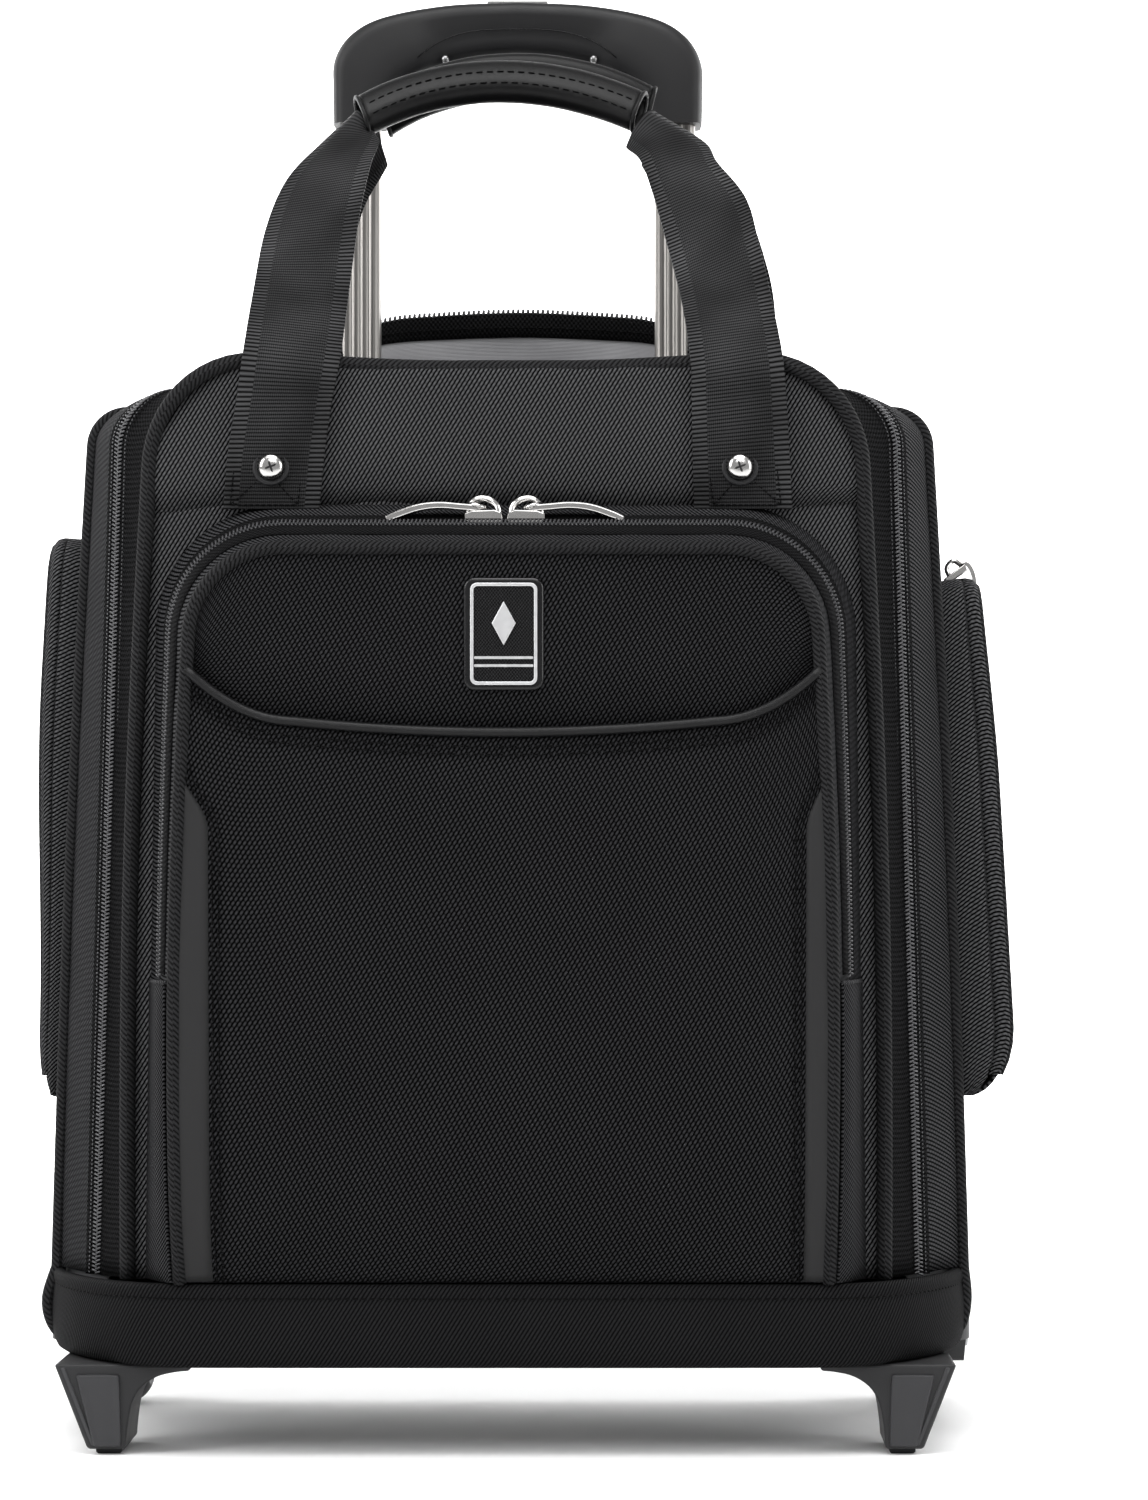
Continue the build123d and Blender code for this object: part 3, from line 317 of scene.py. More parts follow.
def swell(rows, height, rumple, size, seed):
    """Pad a grid out along its normals: a crown and loose rumples between its seams."""
    normal = normals_of(rows)
    out = []
    for i, row in enumerate(rows):
        crown = 1 - (2 * i / (len(rows) - 1) - 1) ** 4
        line = []
        for j, p in enumerate(row):
            ends = 1 - (2 * j / (len(row) - 1) - 1) ** 12
            push = height * crown * ends + rumple * ripple(p, size, seed) * crown
            line.append(p + normal[i][j] * push)
        out.append(line)
    return out


def between(ring_a, ring_b, rows):
    """Rows of points from one ring to another."""
    return [[a.lerp(b, i / rows) for a, b in zip(ring_a, ring_b)] for i in range(rows + 1)]


def turned_round(rows):
    """The same rows run the other way, so that the faces look to the other side."""
    return [list(reversed(row)) for row in rows]


def facing(side, rows):
    """Rows that look outward on a side of the case: they are drawn for the right one."""
    return rows if side > 0 else turned_round(rows)


# Objects ---


def finish_piece(obj, material, body, replaces, slot):
    """Give a new object its material, body, slot and the CAD nodes that it stands for."""
    obj.data.materials.append(material)
    if body:
        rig.ride(obj, body)
    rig.slot(obj, slot or SLOT_OF[material.name])
    if replaces:
        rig.replaces(obj, *replaces)
    return obj


def mesh_piece(name, points, faces, material, body, replaces=(), slot=None, uvs=None, flat=False):
    """A mesh object from points in millimetres."""
    mesh = bpy.data.meshes.new(name)
    mesh.from_pydata([Vector(p) * MM for p in points], [], faces)
    if uvs:
        layer = mesh.uv_layers.new(name="UVMap")
        for loop in mesh.loops:
            layer.data[loop.index].uv = uvs[loop.vertex_index]
    mesh.shade_flat() if flat else mesh.shade_smooth()
    obj = bpy.data.objects.new(name, mesh)
    scene.collection.objects.link(obj)
    return finish_piece(obj, material, body, replaces, slot)


def thicken(obj, thick, **settings):
    """Give a sheet its thickness in millimetres, inwards from the drawn face."""
    shell = obj.modifiers.new("thickness", "SOLIDIFY")
    shell.thickness, shell.offset = thick * MM, -1
    for key, value in settings.items():
        setattr(shell, key, value)


def grid_piece(name, rows, material, body, replaces=(), slot=None, thick=0.0, skip=None):
    """A sheet through rows of points, with its UVs in metres so that a weave keeps its scale."""
    wide = len(rows[0])
    middle = wide // 2
    v_at, uvs = [0.0], []
    for a, b in zip(rows, rows[1:]):
        v_at.append(v_at[-1] + (b[middle] - a[middle]).length * MM)
    for i, row in enumerate(rows):
        u = -sum((row[j + 1] - row[j]).length for j in range(middle)) * MM
        for j, p in enumerate(row):
            uvs.append((u, v_at[i]))
            if j + 1 < wide:
                u += (row[j + 1] - p).length * MM
    faces = []
    for i in range(len(rows) - 1):
        for j in range(wide - 1):
            if skip and skip(rows[i][j], rows[i + 1][j + 1]):
                continue
            k = i * wide + j
            faces.append((k, k + 1, k + wide + 1, k + wide))
    obj = mesh_piece(name, [p for row in rows for p in row], faces, material, body, replaces, slot, uvs)
    if thick:
        thicken(obj, thick, use_even_offset=True)
    return obj


def frames_along(points):
    """Tangent, normal and side at each point of a path, carried along without twist."""
    out, side = [], None
    for i, p in enumerate(points):
        tangent = (points[min(i + 1, len(points) - 1)] - points[max(i - 1, 0)]).normalized()
        if side is None:
            side = tangent.cross(at(0, -1, 0))
            if side.length < 0.1:
                side = tangent.cross(at(0, 0, 1))
        side = (side - tangent * side.dot(tangent)).normalized()
        out.append((tangent, side.cross(tangent), side))
    return out


def cord_piece(name, points, radius, material, body, replaces=(), slot=None, sides=10):
    """A round cord along a path, closed at both ends."""
    rows = []
    for p, (_, up, side) in zip(points, frames_along(points)):
        turn = even(0, math.tau, sides)
        rows.append([p + radius * (up * math.cos(a) + side * math.sin(a)) for a in turn])
    wide = sides + 1
    uvs, along = [], 0.0
    for i in range(len(rows)):
        uvs += [(k / sides * math.tau * radius * MM, along) for k in range(wide)]
        if i + 1 < len(points):
            along += (points[i + 1] - points[i]).length * MM
    starts = [i * wide + k for i in range(len(rows) - 1) for k in range(sides)]
    faces = [(a, a + 1, a + wide + 1, a + wide) for a in starts]
    faces += [tuple(range(sides, -1, -1)), tuple((len(rows) - 1) * wide + k for k in range(wide))]
    return mesh_piece(name, [p for row in rows for p in row], faces, material, body, replaces, slot, uvs)


def pills_piece(name, items, material, body, replaces=(), slot=None, sides=6):
    """Many small rounded bars in one object: stitches, or the coils of a zipper."""
    points, faces = [], []
    for centre, reach, radius in items:
        axis = reach.normalized()
        side = axis.orthogonal().normalized()
        up = axis.cross(side)
        base = len(points)
        for offset, share in ((-1, 0.35), (-0.72, 0.95), (0.72, 0.95), (1, 0.35)):
            for k in range(sides):
                a = math.tau * k / sides
                rim = (side * math.cos(a) + up * math.sin(a)) * radius * share
                points.append(centre + reach * offset + rim)
        for r in range(3):
            for k in range(sides):
                a, b, n = base + r * sides, base + (r + 1) * sides, (k + 1) % sides
                faces.append((a + k, a + n, b + n, b + k))
        faces.append(tuple(base + k for k in reversed(range(sides))))
        faces.append(tuple(base + 3 * sides + k for k in range(sides)))
    return mesh_piece(name, points, faces, material, body, replaces, slot)


def spaced(points, pitch):
    """(point, direction) pairs at an even pitch along a path."""
    out, left = [], pitch / 2
    for a, b in zip(points, points[1:]):
        length = (b - a).length
        while left <= length:
            out.append((a.lerp(b, left / length), (b - a).normalized()))
            left += pitch
        left -= length
    return out


STITCH, THREAD = 3.2, 0.34


def stitches(path, pitch=STITCH, length=2.3, radius=THREAD):
    """Thread along a path: one small bar for each stitch."""
    return [(p, d * length / 2, radius) for p, d in spaced(path, pitch)]


def bevelled(obj, width, segments=3, angle=35):
    """Round the hard edges of an object."""
    mod = obj.modifiers.new("bevel", "BEVEL")
    mod.width, mod.segments = width * MM, segments
    mod.limit_method, mod.angle_limit = "ANGLE", math.radians(angle)
    mod.harden_normals = False
    return obj


def prism_piece(name, outline, depths, material, body, replaces=(), slot=None, round_off=None):
    """An (x, z) outline carried straight along Y, with its edges rounded off by a bevel."""
    n = len(outline)
    points = [at(p[0], y, p[1]) for y in depths for p in outline]
    faces = [tuple(range(n)), tuple(range(2 * n - 1, n - 1, -1))]
    faces += [(i, n + i, n + (i + 1) % n, (i + 1) % n) for i in range(n)]
    obj = mesh_piece(name, points, faces, material, body, replaces, slot, flat=True)
    return bevelled(obj, *round_off) if round_off else obj


def rounded(width, height, radius, centre=(0, 0), steps=6):
    """A rounded rectangle as a list of (x, y)."""
    out = []
    for cx, cy, first in ((1, 1, 0), (-1, 1, 90), (-1, -1, 180), (1, -1, 270)):
        for degrees in even(first, first + 90, steps):
            a = math.radians(degrees)
            x = centre[0] + cx * (width / 2 - radius) + radius * math.cos(a)
            y = centre[1] + cy * (height / 2 - radius) + radius * math.sin(a)
            out.append((x, y))
    return out


# Materials ---


class Value:
    """A number that varies over a surface, worked out by math nodes."""

    def __init__(self, tree, socket):
        self.tree, self.socket = tree, socket

    def step(self, operation, *others):
        made = self.tree.nodes.new("ShaderNodeMath")
        made.operation = operation
        for socket, value in zip(made.inputs, (self, *others)):
            put(self.tree, socket, value)
        return Value(self.tree, made.outputs[0])

    def __add__(self, other):
        return self.step("ADD", other)

    def __sub__(self, other):
        return self.step("SUBTRACT", other)

    def __mul__(self, other):
        return self.step("MULTIPLY", other)

    def least(self, floor):
        return self.step("MAXIMUM", floor)

    def ribs(self, rate=None):
        """Even ridges from 0 to 1, math.pi / rate apart."""
        return (self if rate is None else self * rate).step("SINE").step("ABSOLUTE")

    def between(self, low, high):
        """The same variation, stretched from 0-1 to low-high."""
        made = self.tree.nodes.new("ShaderNodeMapRange")
        put(self.tree, made.inputs["Value"], self)
        made.inputs["To Min"].default_value = low
        made.inputs["To Max"].default_value = high
        return Value(self.tree, made.outputs[0])


def put(tree, socket, value):
    """Feed a socket from a varying value, or set it to a fixed one."""
    if isinstance(value, Value):
        tree.links.new(value.socket, socket)
    else:
        socket.default_value = value


class Recipe:
    """A material's node tree, with short calls for the nodes that these finishes use."""

    def __init__(self, name, colour, roughness, **fixed):
        self.material = bpy.data.materials.new(name)
        self.material.use_nodes = True
        self.tree = self.material.node_tree
        self.shader = self.tree.nodes["Principled BSDF"]
        self.colour = (*colour, 1)
        self.shader.inputs["Base Color"].default_value = self.colour
        self.shader.inputs["Roughness"].default_value = roughness
        for key, value in fixed.items():
            self.shader.inputs[key.replace("_", " ")].default_value = value

    def node(self, kind, values, output=0, **settings):
        """A new node's output, with its settings and input values."""
        made = self.tree.nodes.new("ShaderNode" + kind)
        for key, value in settings.items():
            setattr(made, key, value)
        for key, value in values.items():
            put(self.tree, made.inputs[key], value)
        return Value(self.tree, made.outputs[output])

    def place(self, source="UV"):
        return self.node("TexCoord", {}, source)

    def parts(self, vector):
        """The first two parts of a place."""
        made = self.node("SeparateXYZ", {0: vector}).socket.node
        return Value(self.tree, made.outputs[0]), Value(self.tree, made.outputs[1])

    def stretched(self, vector, scale):
        return self.node("Mapping", {"Vector": vector, "Scale": scale})

    def noise(self, vector, scale, detail=3.0):
        return self.node("TexNoise", {"Vector": vector, "Scale": scale, "Detail": detail}, "Fac")

    def mixed(self, factor, a, b):
        values = {"Factor": factor, "A": a, "B": b}
        return self.node("Mix", values, "Result", data_type="FLOAT")

    def tint(self, factor):
        """The base colour, lighter or darker by a factor that varies over the surface."""
        grey = self.node("CombineXYZ", {0: factor, 1: factor, 2: factor})
        made = self.tree.nodes.new("ShaderNodeMix")
        made.data_type, made.blend_type = "RGBA", "MULTIPLY"
        for key, value in (("Factor", 1.0), ("A", self.colour), ("B", grey)):
            put(self.tree, made.inputs[key], value)
        self.tree.links.new(made.outputs["Result"], self.shader.inputs["Base Color"])

    def rough(self, value):
        put(self.tree, self.shader.inputs["Roughness"], value)

    def bump(self, height, distance, strength=1.0):
        """The last step of a recipe: raise the surface, and give back the material."""
        values = {"Strength": strength, "Distance": distance, "Height": height}
        put(self.tree, self.shader.inputs["Normal"], self.node("Bump", values))
        return self.material


def grey(level, blue=0.0003):
    """A grey whose blue part is a little higher than the rest."""
    return level, level, level + blue


def twill(name, colour, dash=0.35, dark=-4.2, light=8.4):
    """Heavy nylon twill: slanting ribs made of short raised dashes, with painted highlights on the rib crests and
    painted shade in the valleys.
    """
    pitch, slant = 0.0014, math.radians(58)
    r = Recipe(name, colour, 0.72, Sheen_Weight=0.0, Sheen_Roughness=0.5, Specular_IOR_Level=0.02)
    u, v = r.parts(r.place())
    across = u * (math.sin(slant) / pitch) - v * (math.cos(slant) / pitch)
    along = u * (math.cos(slant) / (1.7 * pitch)) + v * (math.sin(slant) / (1.7 * pitch))
    stitch = (along + across.step("FLOOR") * 0.37).ribs(math.pi)
    weave = across.ribs(math.pi) * (stitch * dash + (1 - dash))
    patch = r.noise(r.place(), 18.0, 2.0)
    fibre = r.noise(r.place(), 2600.0, 2.0)
    worn = patch.between(0.86, 1.14) * fibre.between(0.75, 1.25)
    # Painted highlight and shade: the weave's height tints the colour far lighter on the rib crests and darker in the
    # valleys; the patch and fibre factors are random tone.
    r.tint(weave.between(dark, light).least(0.02) * worn)
    r.rough(weave.between(0.86, 0.6))
    return r.bump(weave, 0.0003)


def rope(name, colour):
    """Piping covered in bias-cut twill: bold ribs that wind round the cord."""
    r = Recipe(name, colour, 0.7, Specular_IOR_Level=0.06)
    u, v = r.parts(r.place())
    turn = v * (math.pi / 0.0021) + u * (math.pi / 0.0026)
    weave = turn.ribs() * 0.8 + turn.ribs(3.0) * 0.2
    fibre = r.noise(r.place(), 2200.0, 2.0)
    r.tint(weave.between(-0.7, 2.9).least(0.03) * fibre.between(0.7, 1.3))
    return r.bump(weave, 0.0006)


def knit(name, colour, pitch, roughness, light=1.3):
    """Woven zipper tape: a matt, pebbled band."""
    r = Recipe(name, colour, roughness, Specular_IOR_Level=0.04)
    u, v = r.parts(r.place())
    loops = (u * (math.tau / pitch)).step("SINE") * (v * (math.tau / (1.25 * pitch))).step("SINE")
    height = loops * 0.45 + r.noise(r.place(), 1900.0, 3.0)
    r.tint(height.between(-0.3, light).least(0.05))
    return r.bump(height, 0.0004)


def webbing(name, colour):
    """Carry webbing: fine crosswise ribs with a bold ribbed band along each edge."""
    r = Recipe(name, colour, 0.5, Specular_IOR_Level=0.05)
    u, v = r.parts(r.place())
    edge = u.step("ABSOLUTE").step("GREATER_THAN", 0.0128)
    bold = v.ribs(math.pi / 0.0018)
    middle = v.ribs(math.pi / 0.0014) * 0.25 + u.ribs(math.pi / 0.0008) * 0.15
    height = r.mixed(edge, middle, bold + 0.15)
    # Painted glints and shade: the fine middle ribs are tinted up to seven times lighter on their crests, and the bold
    # edge ribs lighter and darker in turn.
    shade = r.mixed(edge, middle.between(-0.9, 7.0).least(0.05), bold.between(-1.6, 3.2).least(0.03))
    patch = r.noise(r.place(), 24.0, 1.5)
    r.tint(shade * patch.between(-0.5, 2.3).least(0.3))
    r.rough(height.between(0.66, 0.46))
    return r.bump(height, 0.00035, 0.8)


def leather(name, colour, roughness=0.3):
    """Smooth leather with a fine pebble and a little unevenness."""
    r = Recipe(name, colour, roughness, Specular_IOR_Level=0.16)
    place = r.place("Object")
    cell = r.node(
        "TexVoronoi", {"Vector": place, "Scale": 1500.0}, "Distance", feature="DISTANCE_TO_EDGE"
    )
    broad = r.noise(place, 160.0)
    r.tint(broad.between(0.8, 1.2))
    r.rough(r.noise(place, 40.0, 2.0).between(roughness - 0.08, roughness + 0.12))
    return r.bump((cell * 2.5).step("MINIMUM", 0.5) + broad * 0.8, 0.00012, 0.5)


def plastic(name, colour, roughness=0.5, grain=1400.0, depth=0.00006):
    """Moulded plastic with a fine spark-eroded texture and slight scuffing."""
    r = Recipe(name, colour, roughness, Specular_IOR_Level=0.3)
    place = r.place("Object")
    scuff = r.noise(r.stretched(place, (1, 1, 0.2)), 90.0, 4.0)
    r.tint(scuff.between(0.85, 1.15))
    r.rough(scuff.between(roughness - 0.08, roughness + 0.1))
    return r.bump(r.noise(place, grain, 2.0), depth, 0.8)


def metal(name, colour, roughness, brushed=None, depth=0.00002):
    """Polished or brushed metal; brushed names the axis scale that draws out its lines."""
    r = Recipe(name, colour, roughness, Metallic=1.0)
    place = r.place("Object")
    lines = r.noise(r.stretched(place, brushed), 1.0) if brushed else r.noise(place, 420.0)
    r.tint(lines.between(0.72, 1.12) if brushed else lines.between(0.93, 1.03))
    r.rough(lines.between(roughness * 0.8, roughness * 1.3))
    return r.bump(lines, depth, 0.6)


def satin(name, colour, roughness, crease):
    """Smooth lining with faint creases and a fine thread."""
    r = Recipe(name, colour, roughness, Sheen_Weight=0.2)
    place = r.place()
    soft = r.noise(place, 60.0)
    thread = (r.parts(place)[1] * (math.tau / 0.0006)).step("SINE")
    r.tint(soft.between(0.82, 1.18))
    return r.bump(thread * 0.08 + soft, crease, 0.5)


BLACK_FABRIC = twill("twill_panel", grey(0.0090, 0.0004))
# Painted shade: a darker copy of the panel twill, whose lower base colour darkens away the light that the gussets
# catch at a grazing angle.
SHADED_GUSSET_FABRIC = twill("gusset_twill", grey(0.0052))
# Partly painted shade: the dashed weave is the pocket's own, but its base colour is a darker copy of the panel
# twill's, painting the shade of the pocket's upright face.
SHADED_POCKET_FABRIC = twill("dashed_twill_panel", grey(0.0044), dash=0.6, dark=-2.6, light=6.2)
BASE_FABRIC = twill("base_twill", grey(0.0060), dash=0.2, dark=-0.2, light=2.4)
ROPE = rope("piping_twill", grey(0.0078, 0.0004))
TAPE = knit("zipper_tape", grey(0.0052), 0.0019, 0.9, 2.6)
WEBBING = webbing("carry_webbing", grey(0.0150, 0.0005))
LEATHER = leather("wrap_leather", grey(0.0020, 0.0002))
TRIM = leather("trim_leather", grey(0.0056, 0.0004))
ACCENT = plastic("grey_reflective_tape", grey(0.0085, 0.0005), 0.66, 900.0)
LINING = satin("grey_satin_lining", grey(0.24, 0.01), 0.42, 0.001)
THREAD_BLACK = knit("thread", grey(0.0050), 0.0004, 0.6)
# Partly painted highlight: the coil's base colour is raised well above its own near-black so that it reads as glints,
# alongside its gloss.
COIL = plastic("zipper_coil", grey(0.060, 0.003), 0.24)
POCKET_COIL = plastic("pocket_zipper_coil", grey(0.026, 0.002), 0.3)
PLASTIC = plastic("moulded_plastic_black", grey(0.0090, 0.001), 0.48)
FOOT_PLASTIC = plastic("foot_plastic", grey(0.026, 0.002), 0.46)
FOOT_SHELL = plastic("foot_shell_plastic", grey(0.014, 0.001), 0.5)
GRIP_PLASTIC = plastic("grip_plastic_charcoal", grey(0.0042, 0.0006), 0.5, 2200.0, 0.00004)
TYRE_RUBBER = plastic("urethane_tyre", grey(0.010, 0.001), 0.6, 700.0, 0.0001)
HUB_PLASTIC = plastic("hub_plastic_grey", grey(0.055, 0.003), 0.45)
CHROME = metal("bright_chrome", (0.60, 0.59, 0.58), 0.17)
GUNMETAL = metal("dark_nickel", grey(0.22, 0.0), 0.28)
STEEL = metal("plain_steel", grey(0.5, 0.01), 0.32)
ALUMINIUM = metal("brushed_aluminium", (0.30, 0.288, 0.275), 0.4, (900.0, 900.0, 6.0), 0.00004)
BADGE_BLACK = plastic("badge_gloss_black", grey(0.0040, 0.0005), 0.26)
BADGE_FIELD = knit("badge_textured_field", grey(0.018, 0.001), 0.0012, 0.5)
BADGE_BRIGHT = metal("badge_frame_silver", grey(0.62, 0.01), 0.42, None, 0.000002)

# The slot that a piece of each material belongs to, unless the piece names another
SLOTS = {
    "ballistic_nylon": (BLACK_FABRIC, SHADED_GUSSET_FABRIC, SHADED_POCKET_FABRIC, TAPE, THREAD_BLACK),
    "twill": (BASE_FABRIC, ROPE), "webbing": (WEBBING,), "leather": (LEATHER, TRIM),
    "lining": (LINING, ACCENT), "zipper_teeth": (COIL, POCKET_COIL), "chrome": (CHROME, BADGE_BRIGHT),
    "badge_black": (BADGE_BLACK, BADGE_FIELD), "grip_plastic": (GRIP_PLASTIC,),
    "moulded_plastic": (PLASTIC, FOOT_PLASTIC, FOOT_SHELL), "tube_aluminium": (ALUMINIUM,),
    "steel": (GUNMETAL,)
}
SLOT_OF = {material.name: slot for slot, group in SLOTS.items() for material in group}

# Seams, pipings and zippers ---


def seam_frames(ring_a, ring_b, pitch, keep=None):
    """Even stations along the first of two rings: place, direction, cross and outward."""
    cross = [(b - a).normalized() for a, b in zip(ring_a, ring_b)]
    out, left = [], pitch / 2
    for k, (a, b) in enumerate(zip(ring_a, ring_a[1:])):
        length, along = (b - a).length, (b - a).normalized()
        while left <= length:
            p = a.lerp(b, left / length)
            c = cross[k].lerp(cross[k + 1], left / length).normalized()
            if keep is None or keep(p):
                out.append((p, along, c, along.cross(c).normalized()))
            left += pitch
        left -= length
    return out


COIL_PITCH = 1.55


def coil_half(frames, side, rise=0.5):
    """One side of a zipper's coil: slanting bars that mesh with the other side's."""
    items = []
    for p, along, across, up in frames:
        slip = along * (0.0 if side < 0 else COIL_PITCH / 2)
        centre = p + across * side * 0.8 + slip + up * rise
        items.append((centre, (across * side * 1.2 + along * 0.36), 0.46))
    return items


def shifted(ring_a, ring_b, t, out):
    """A line between two rings, lifted off the surface."""
    line = []
    for k, (a, b) in enumerate(zip(ring_a, ring_b)):
        along = ring_a[min(k + 1, len(ring_a) - 1)] - ring_a[max(k - 1, 0)]
        line.append(a.lerp(b, t) + along.cross(b - a).normalized() * out)
    return line


def half_out(ring_a, ring_b, share):
    """A ring beside the first one, towards the second, with only a share of its depth."""
    return [a + at(b.x - a.x, share * (b.y - a.y), b.z - a.z) for a, b in zip(ring_a, ring_b)]


# The outlines that the shell hangs on: each is a U, from front to back
panel_line = [
    p - Vector((0, 3.4 * smooth(1.3 - abs(p.x) / 80) * (p.y > 400)))
    for p in arch(SEAM + 1, 143.6, LID_TOP - 1, 134.2, 41, bow=3)
]
panel_ring = ring(panel_line, PANEL_Y)
zip_ring = ring(arch(SEAM + 1, 158.6, 411, 149.6, 23), ZIP_Y)
shoulder_ring = ring(arch(SEAM + 1, 178.8, 404.6, 164.2, 13, bow=1.5), SHOULDER_Y)
back_line = arch(SEAM + 1, 184.4, 408.4, 165.2, 16, bow=1)
back_ring = ring(back_line, BACK_Y - 0.5)


def fill_rows(outline, depth, columns=40, low=None, low_edge=None, inset=0.0):
    """Rows of points that fill an arch outline, from its foot or a lower edge to its top."""
    rows = []
    for p in outline[:HALF_COUNT]:
        if low is None or p.y > low:
            half = max(abs(p.x) - inset, 1.0)
            rows.append([at(half * s, 0, p.y) for s in even(-1, 1, columns)])
    if low_edge:
        rows.insert(0, [at(p.x, 0, low_edge(p.x)) for p in rows[0]])
    for i, row in enumerate(rows):
        t = i / (len(rows) - 1)
        for j, p in enumerate(row):
            p.y = depth(p.x, p.z, t, 2 * j / (len(row) - 1) - 1)
    return rows


def crown(t, s, height):
    """A padded panel's rise: full in the middle, pulled in at its seams."""
    return height * (1 - abs(s) ** 4) * (1 - abs(2 * t - 1) ** 6)


# Lid: its face, the sewn top section, the band to the zipper ---


def lid_depth(x, z, t, s):
    return PANEL_Y - crown(t, s, 1.6) - 0.35 * ripple((x, 0, z), 34, 3)


def top_seam(x):
    """Height of the lower edge of the lid's top section, which wanders a little."""
    return 361.5 + 2.6 * abs(x / 140) ** 1.5 - 1.4 * math.sin(x / 31) + 0.5 * math.sin(x / 9)


def top_depth(x, z, t, s):
    drop = max(0.0, 1 - (z - top_seam(x)) / 5)
    return PANEL_Y - 2.0 - crown(t, s, 2.6) + 1.2 * drop**2 - 0.5 * ripple((x, 0, z), 26, 8)


def lid_lining_depth(x, z, t, s):
    return -76.6 + 0.8 * ripple((x, 0, z), 45, 21)


grid_piece("lid_face", fill_rows(panel_line, lid_depth), BLACK_FABRIC, "lid", ("lid_panel",), thick=2.2)
top_rows = fill_rows(panel_line, top_depth, low=369, low_edge=top_seam, inset=0.6)
lid_top_section = grid_piece("lid_top_section", top_rows, BLACK_FABRIC, "lid", thick=1.6)
band_rows = swell(between(panel_ring, zip_ring, 6), -0.9, 0.25, 12, 4)
grid_piece("lid_zipper_band", band_rows, TAPE, "lid", thick=1.4)
lining_rows = turned_round(fill_rows(panel_line, lid_lining_depth, inset=4))
grid_piece("lid_lining", lining_rows, LINING, "lid")
PIPING = 2.65
lid_cord = [
    p + at(0, -2.8, 0.4) * smooth((p.z - 385) / 30) for p in shifted(panel_ring, zip_ring, 0.05, 1.7)
]
cord_piece("lid_piping_cord", lid_cord, 3.1, ROPE, "lid", ("lid_piping",), sides=14)
flange_rows = [shifted(panel_ring, zip_ring, t, h) for t, h in ((0.1, 1.6), (0.24, 1.3), (0.26, 0.5))]
grid_piece("lid_piping_flange", flange_rows, BLACK_FABRIC, "lid", slot="twill")

# The main zipper: half of its chain on the lid, half on the case
coil_line = [a.lerp(b, 0.06) + at(0, -1.4, 0) for a, b in zip(zip_ring, shoulder_ring)]
coil_side = half_out(coil_line, shoulder_ring, 0.3)
zip_frames = seam_frames(coil_line, coil_side, COIL_PITCH)
chain_rows = [
    [a + (b - a).normalized() * reach for a, b in zip(coil_line, coil_side)]
    for reach in (-5.4, -2.6, 0.0, 2.6, 5.4)
]
for edge, half, part in ((-1, "lid", chain_rows[:3]), (1, "case", chain_rows[2:])):
    grid_piece(half + "_chain_tape", part, TAPE, half, slot="zipper_teeth", thick=0.8)
    dots = [(p + up * 0.25 + c * edge * 3.4, along * 0.4, 0.3) for p, along, c, up in zip_frames]
    pills_piece(half + "_chain_stitching", dots, COIL, half, sides=5)
    pills_piece(half + "_coil", coil_half(zip_frames, edge), COIL, half, (half + "_zipper",))

# Case: zipper tape, gusset, piping, sides with the top, back ---
tape_rows = between(zip_ring, [a.lerp(b, 0.26) for a, b in zip(zip_ring, shoulder_ring)], 3)
grid_piece("case_zipper_tape", tape_rows, TAPE, "case", thick=1.2)
gusset_start = shifted(zip_ring, shoulder_ring, 0.17, 0.9)
gusset_rows = swell(between(gusset_start, shoulder_ring, 8), 1.0, 0.4, 22, 6)
gusset = grid_piece("gusset_fabric", gusset_rows, SHADED_GUSSET_FABRIC, "case", ("front_gusset",), thick=1.6)
side_points = shifted(zip_ring, shoulder_ring, 1.0, 0.7)
foot_left = [at(-173.0, -21, 37.2), at(-180.6, -24.5, 43), at(-183.0, -27, 54)]
foot_right = [at(-p.x - 2.6, p.y, p.z) for p in reversed(foot_left)]
side_path = curve_through(foot_left + [side_points[0]], 14)[:-1] + side_points
side_path += curve_through([side_points[-1]] + foot_right, 14)[1:]
cord_piece("side_piping_cord", side_path, PIPING, ROPE, "case", ("side_piping",), sides=14)
side_depths = (SHOULDER_Y, -20, -12, 2, 18, 34, HOUSING_Y, CUP_Y[0], 86, 96, CUP_Y[1], BACK_Y - 0.5)
side_rows = []
for y in side_depths:
    t = (y - SHOULDER_Y) / (BACK_Y - 0.5 - SHOULDER_Y)
    side_rows.append([a.lerp(b, t) for a, b in zip(shoulder_ring, back_ring)])
flat_rows = side_rows
side_rows = swell(side_rows, 1.6, 0.5, 40, 11)
TOP_RUN = range(HALF_COUNT - 1, HALF_COUNT + 36)
for i in (7, 8, 9, 10):
    for j in TOP_RUN:
        side_rows[i][j] = flat_rows[i][j]


def in_cup(a, b):
    """Whether a face between two corners is over the handle cup, or over a wheel housing."""
    x, y, z = (a + b) / 2
    over = z > 395 and abs(x) < CUP_HALF - 0.5 and CUP_Y[0] < y < CUP_Y[1]
    return over or (z < HOUSING_TOP and y > HOUSING_Y)


SHELL = ("left_side_panel", "right_side_panel", "top_panel")
case_sides = grid_piece(
    "case_sides_and_top", side_rows, BLACK_FABRIC, "case", SHELL, thick=2.0, skip=in_cup
)


def back_depth(x, z, t, s):
    channel = math.exp(-(((abs(x) - TUBE_X) / 15) ** 4))
    return BACK_Y - 0.4 + crown(t, s, 0.7) + 0.5 * channel - 0.3 * ripple((x, 0, z), 40, 15)


def in_housing(a, b):
    """Whether a face of the back panel is behind a wheel housing."""
    x, y, z = (a + b) / 2
    return z < HOUSING_TOP and abs(x) > 146


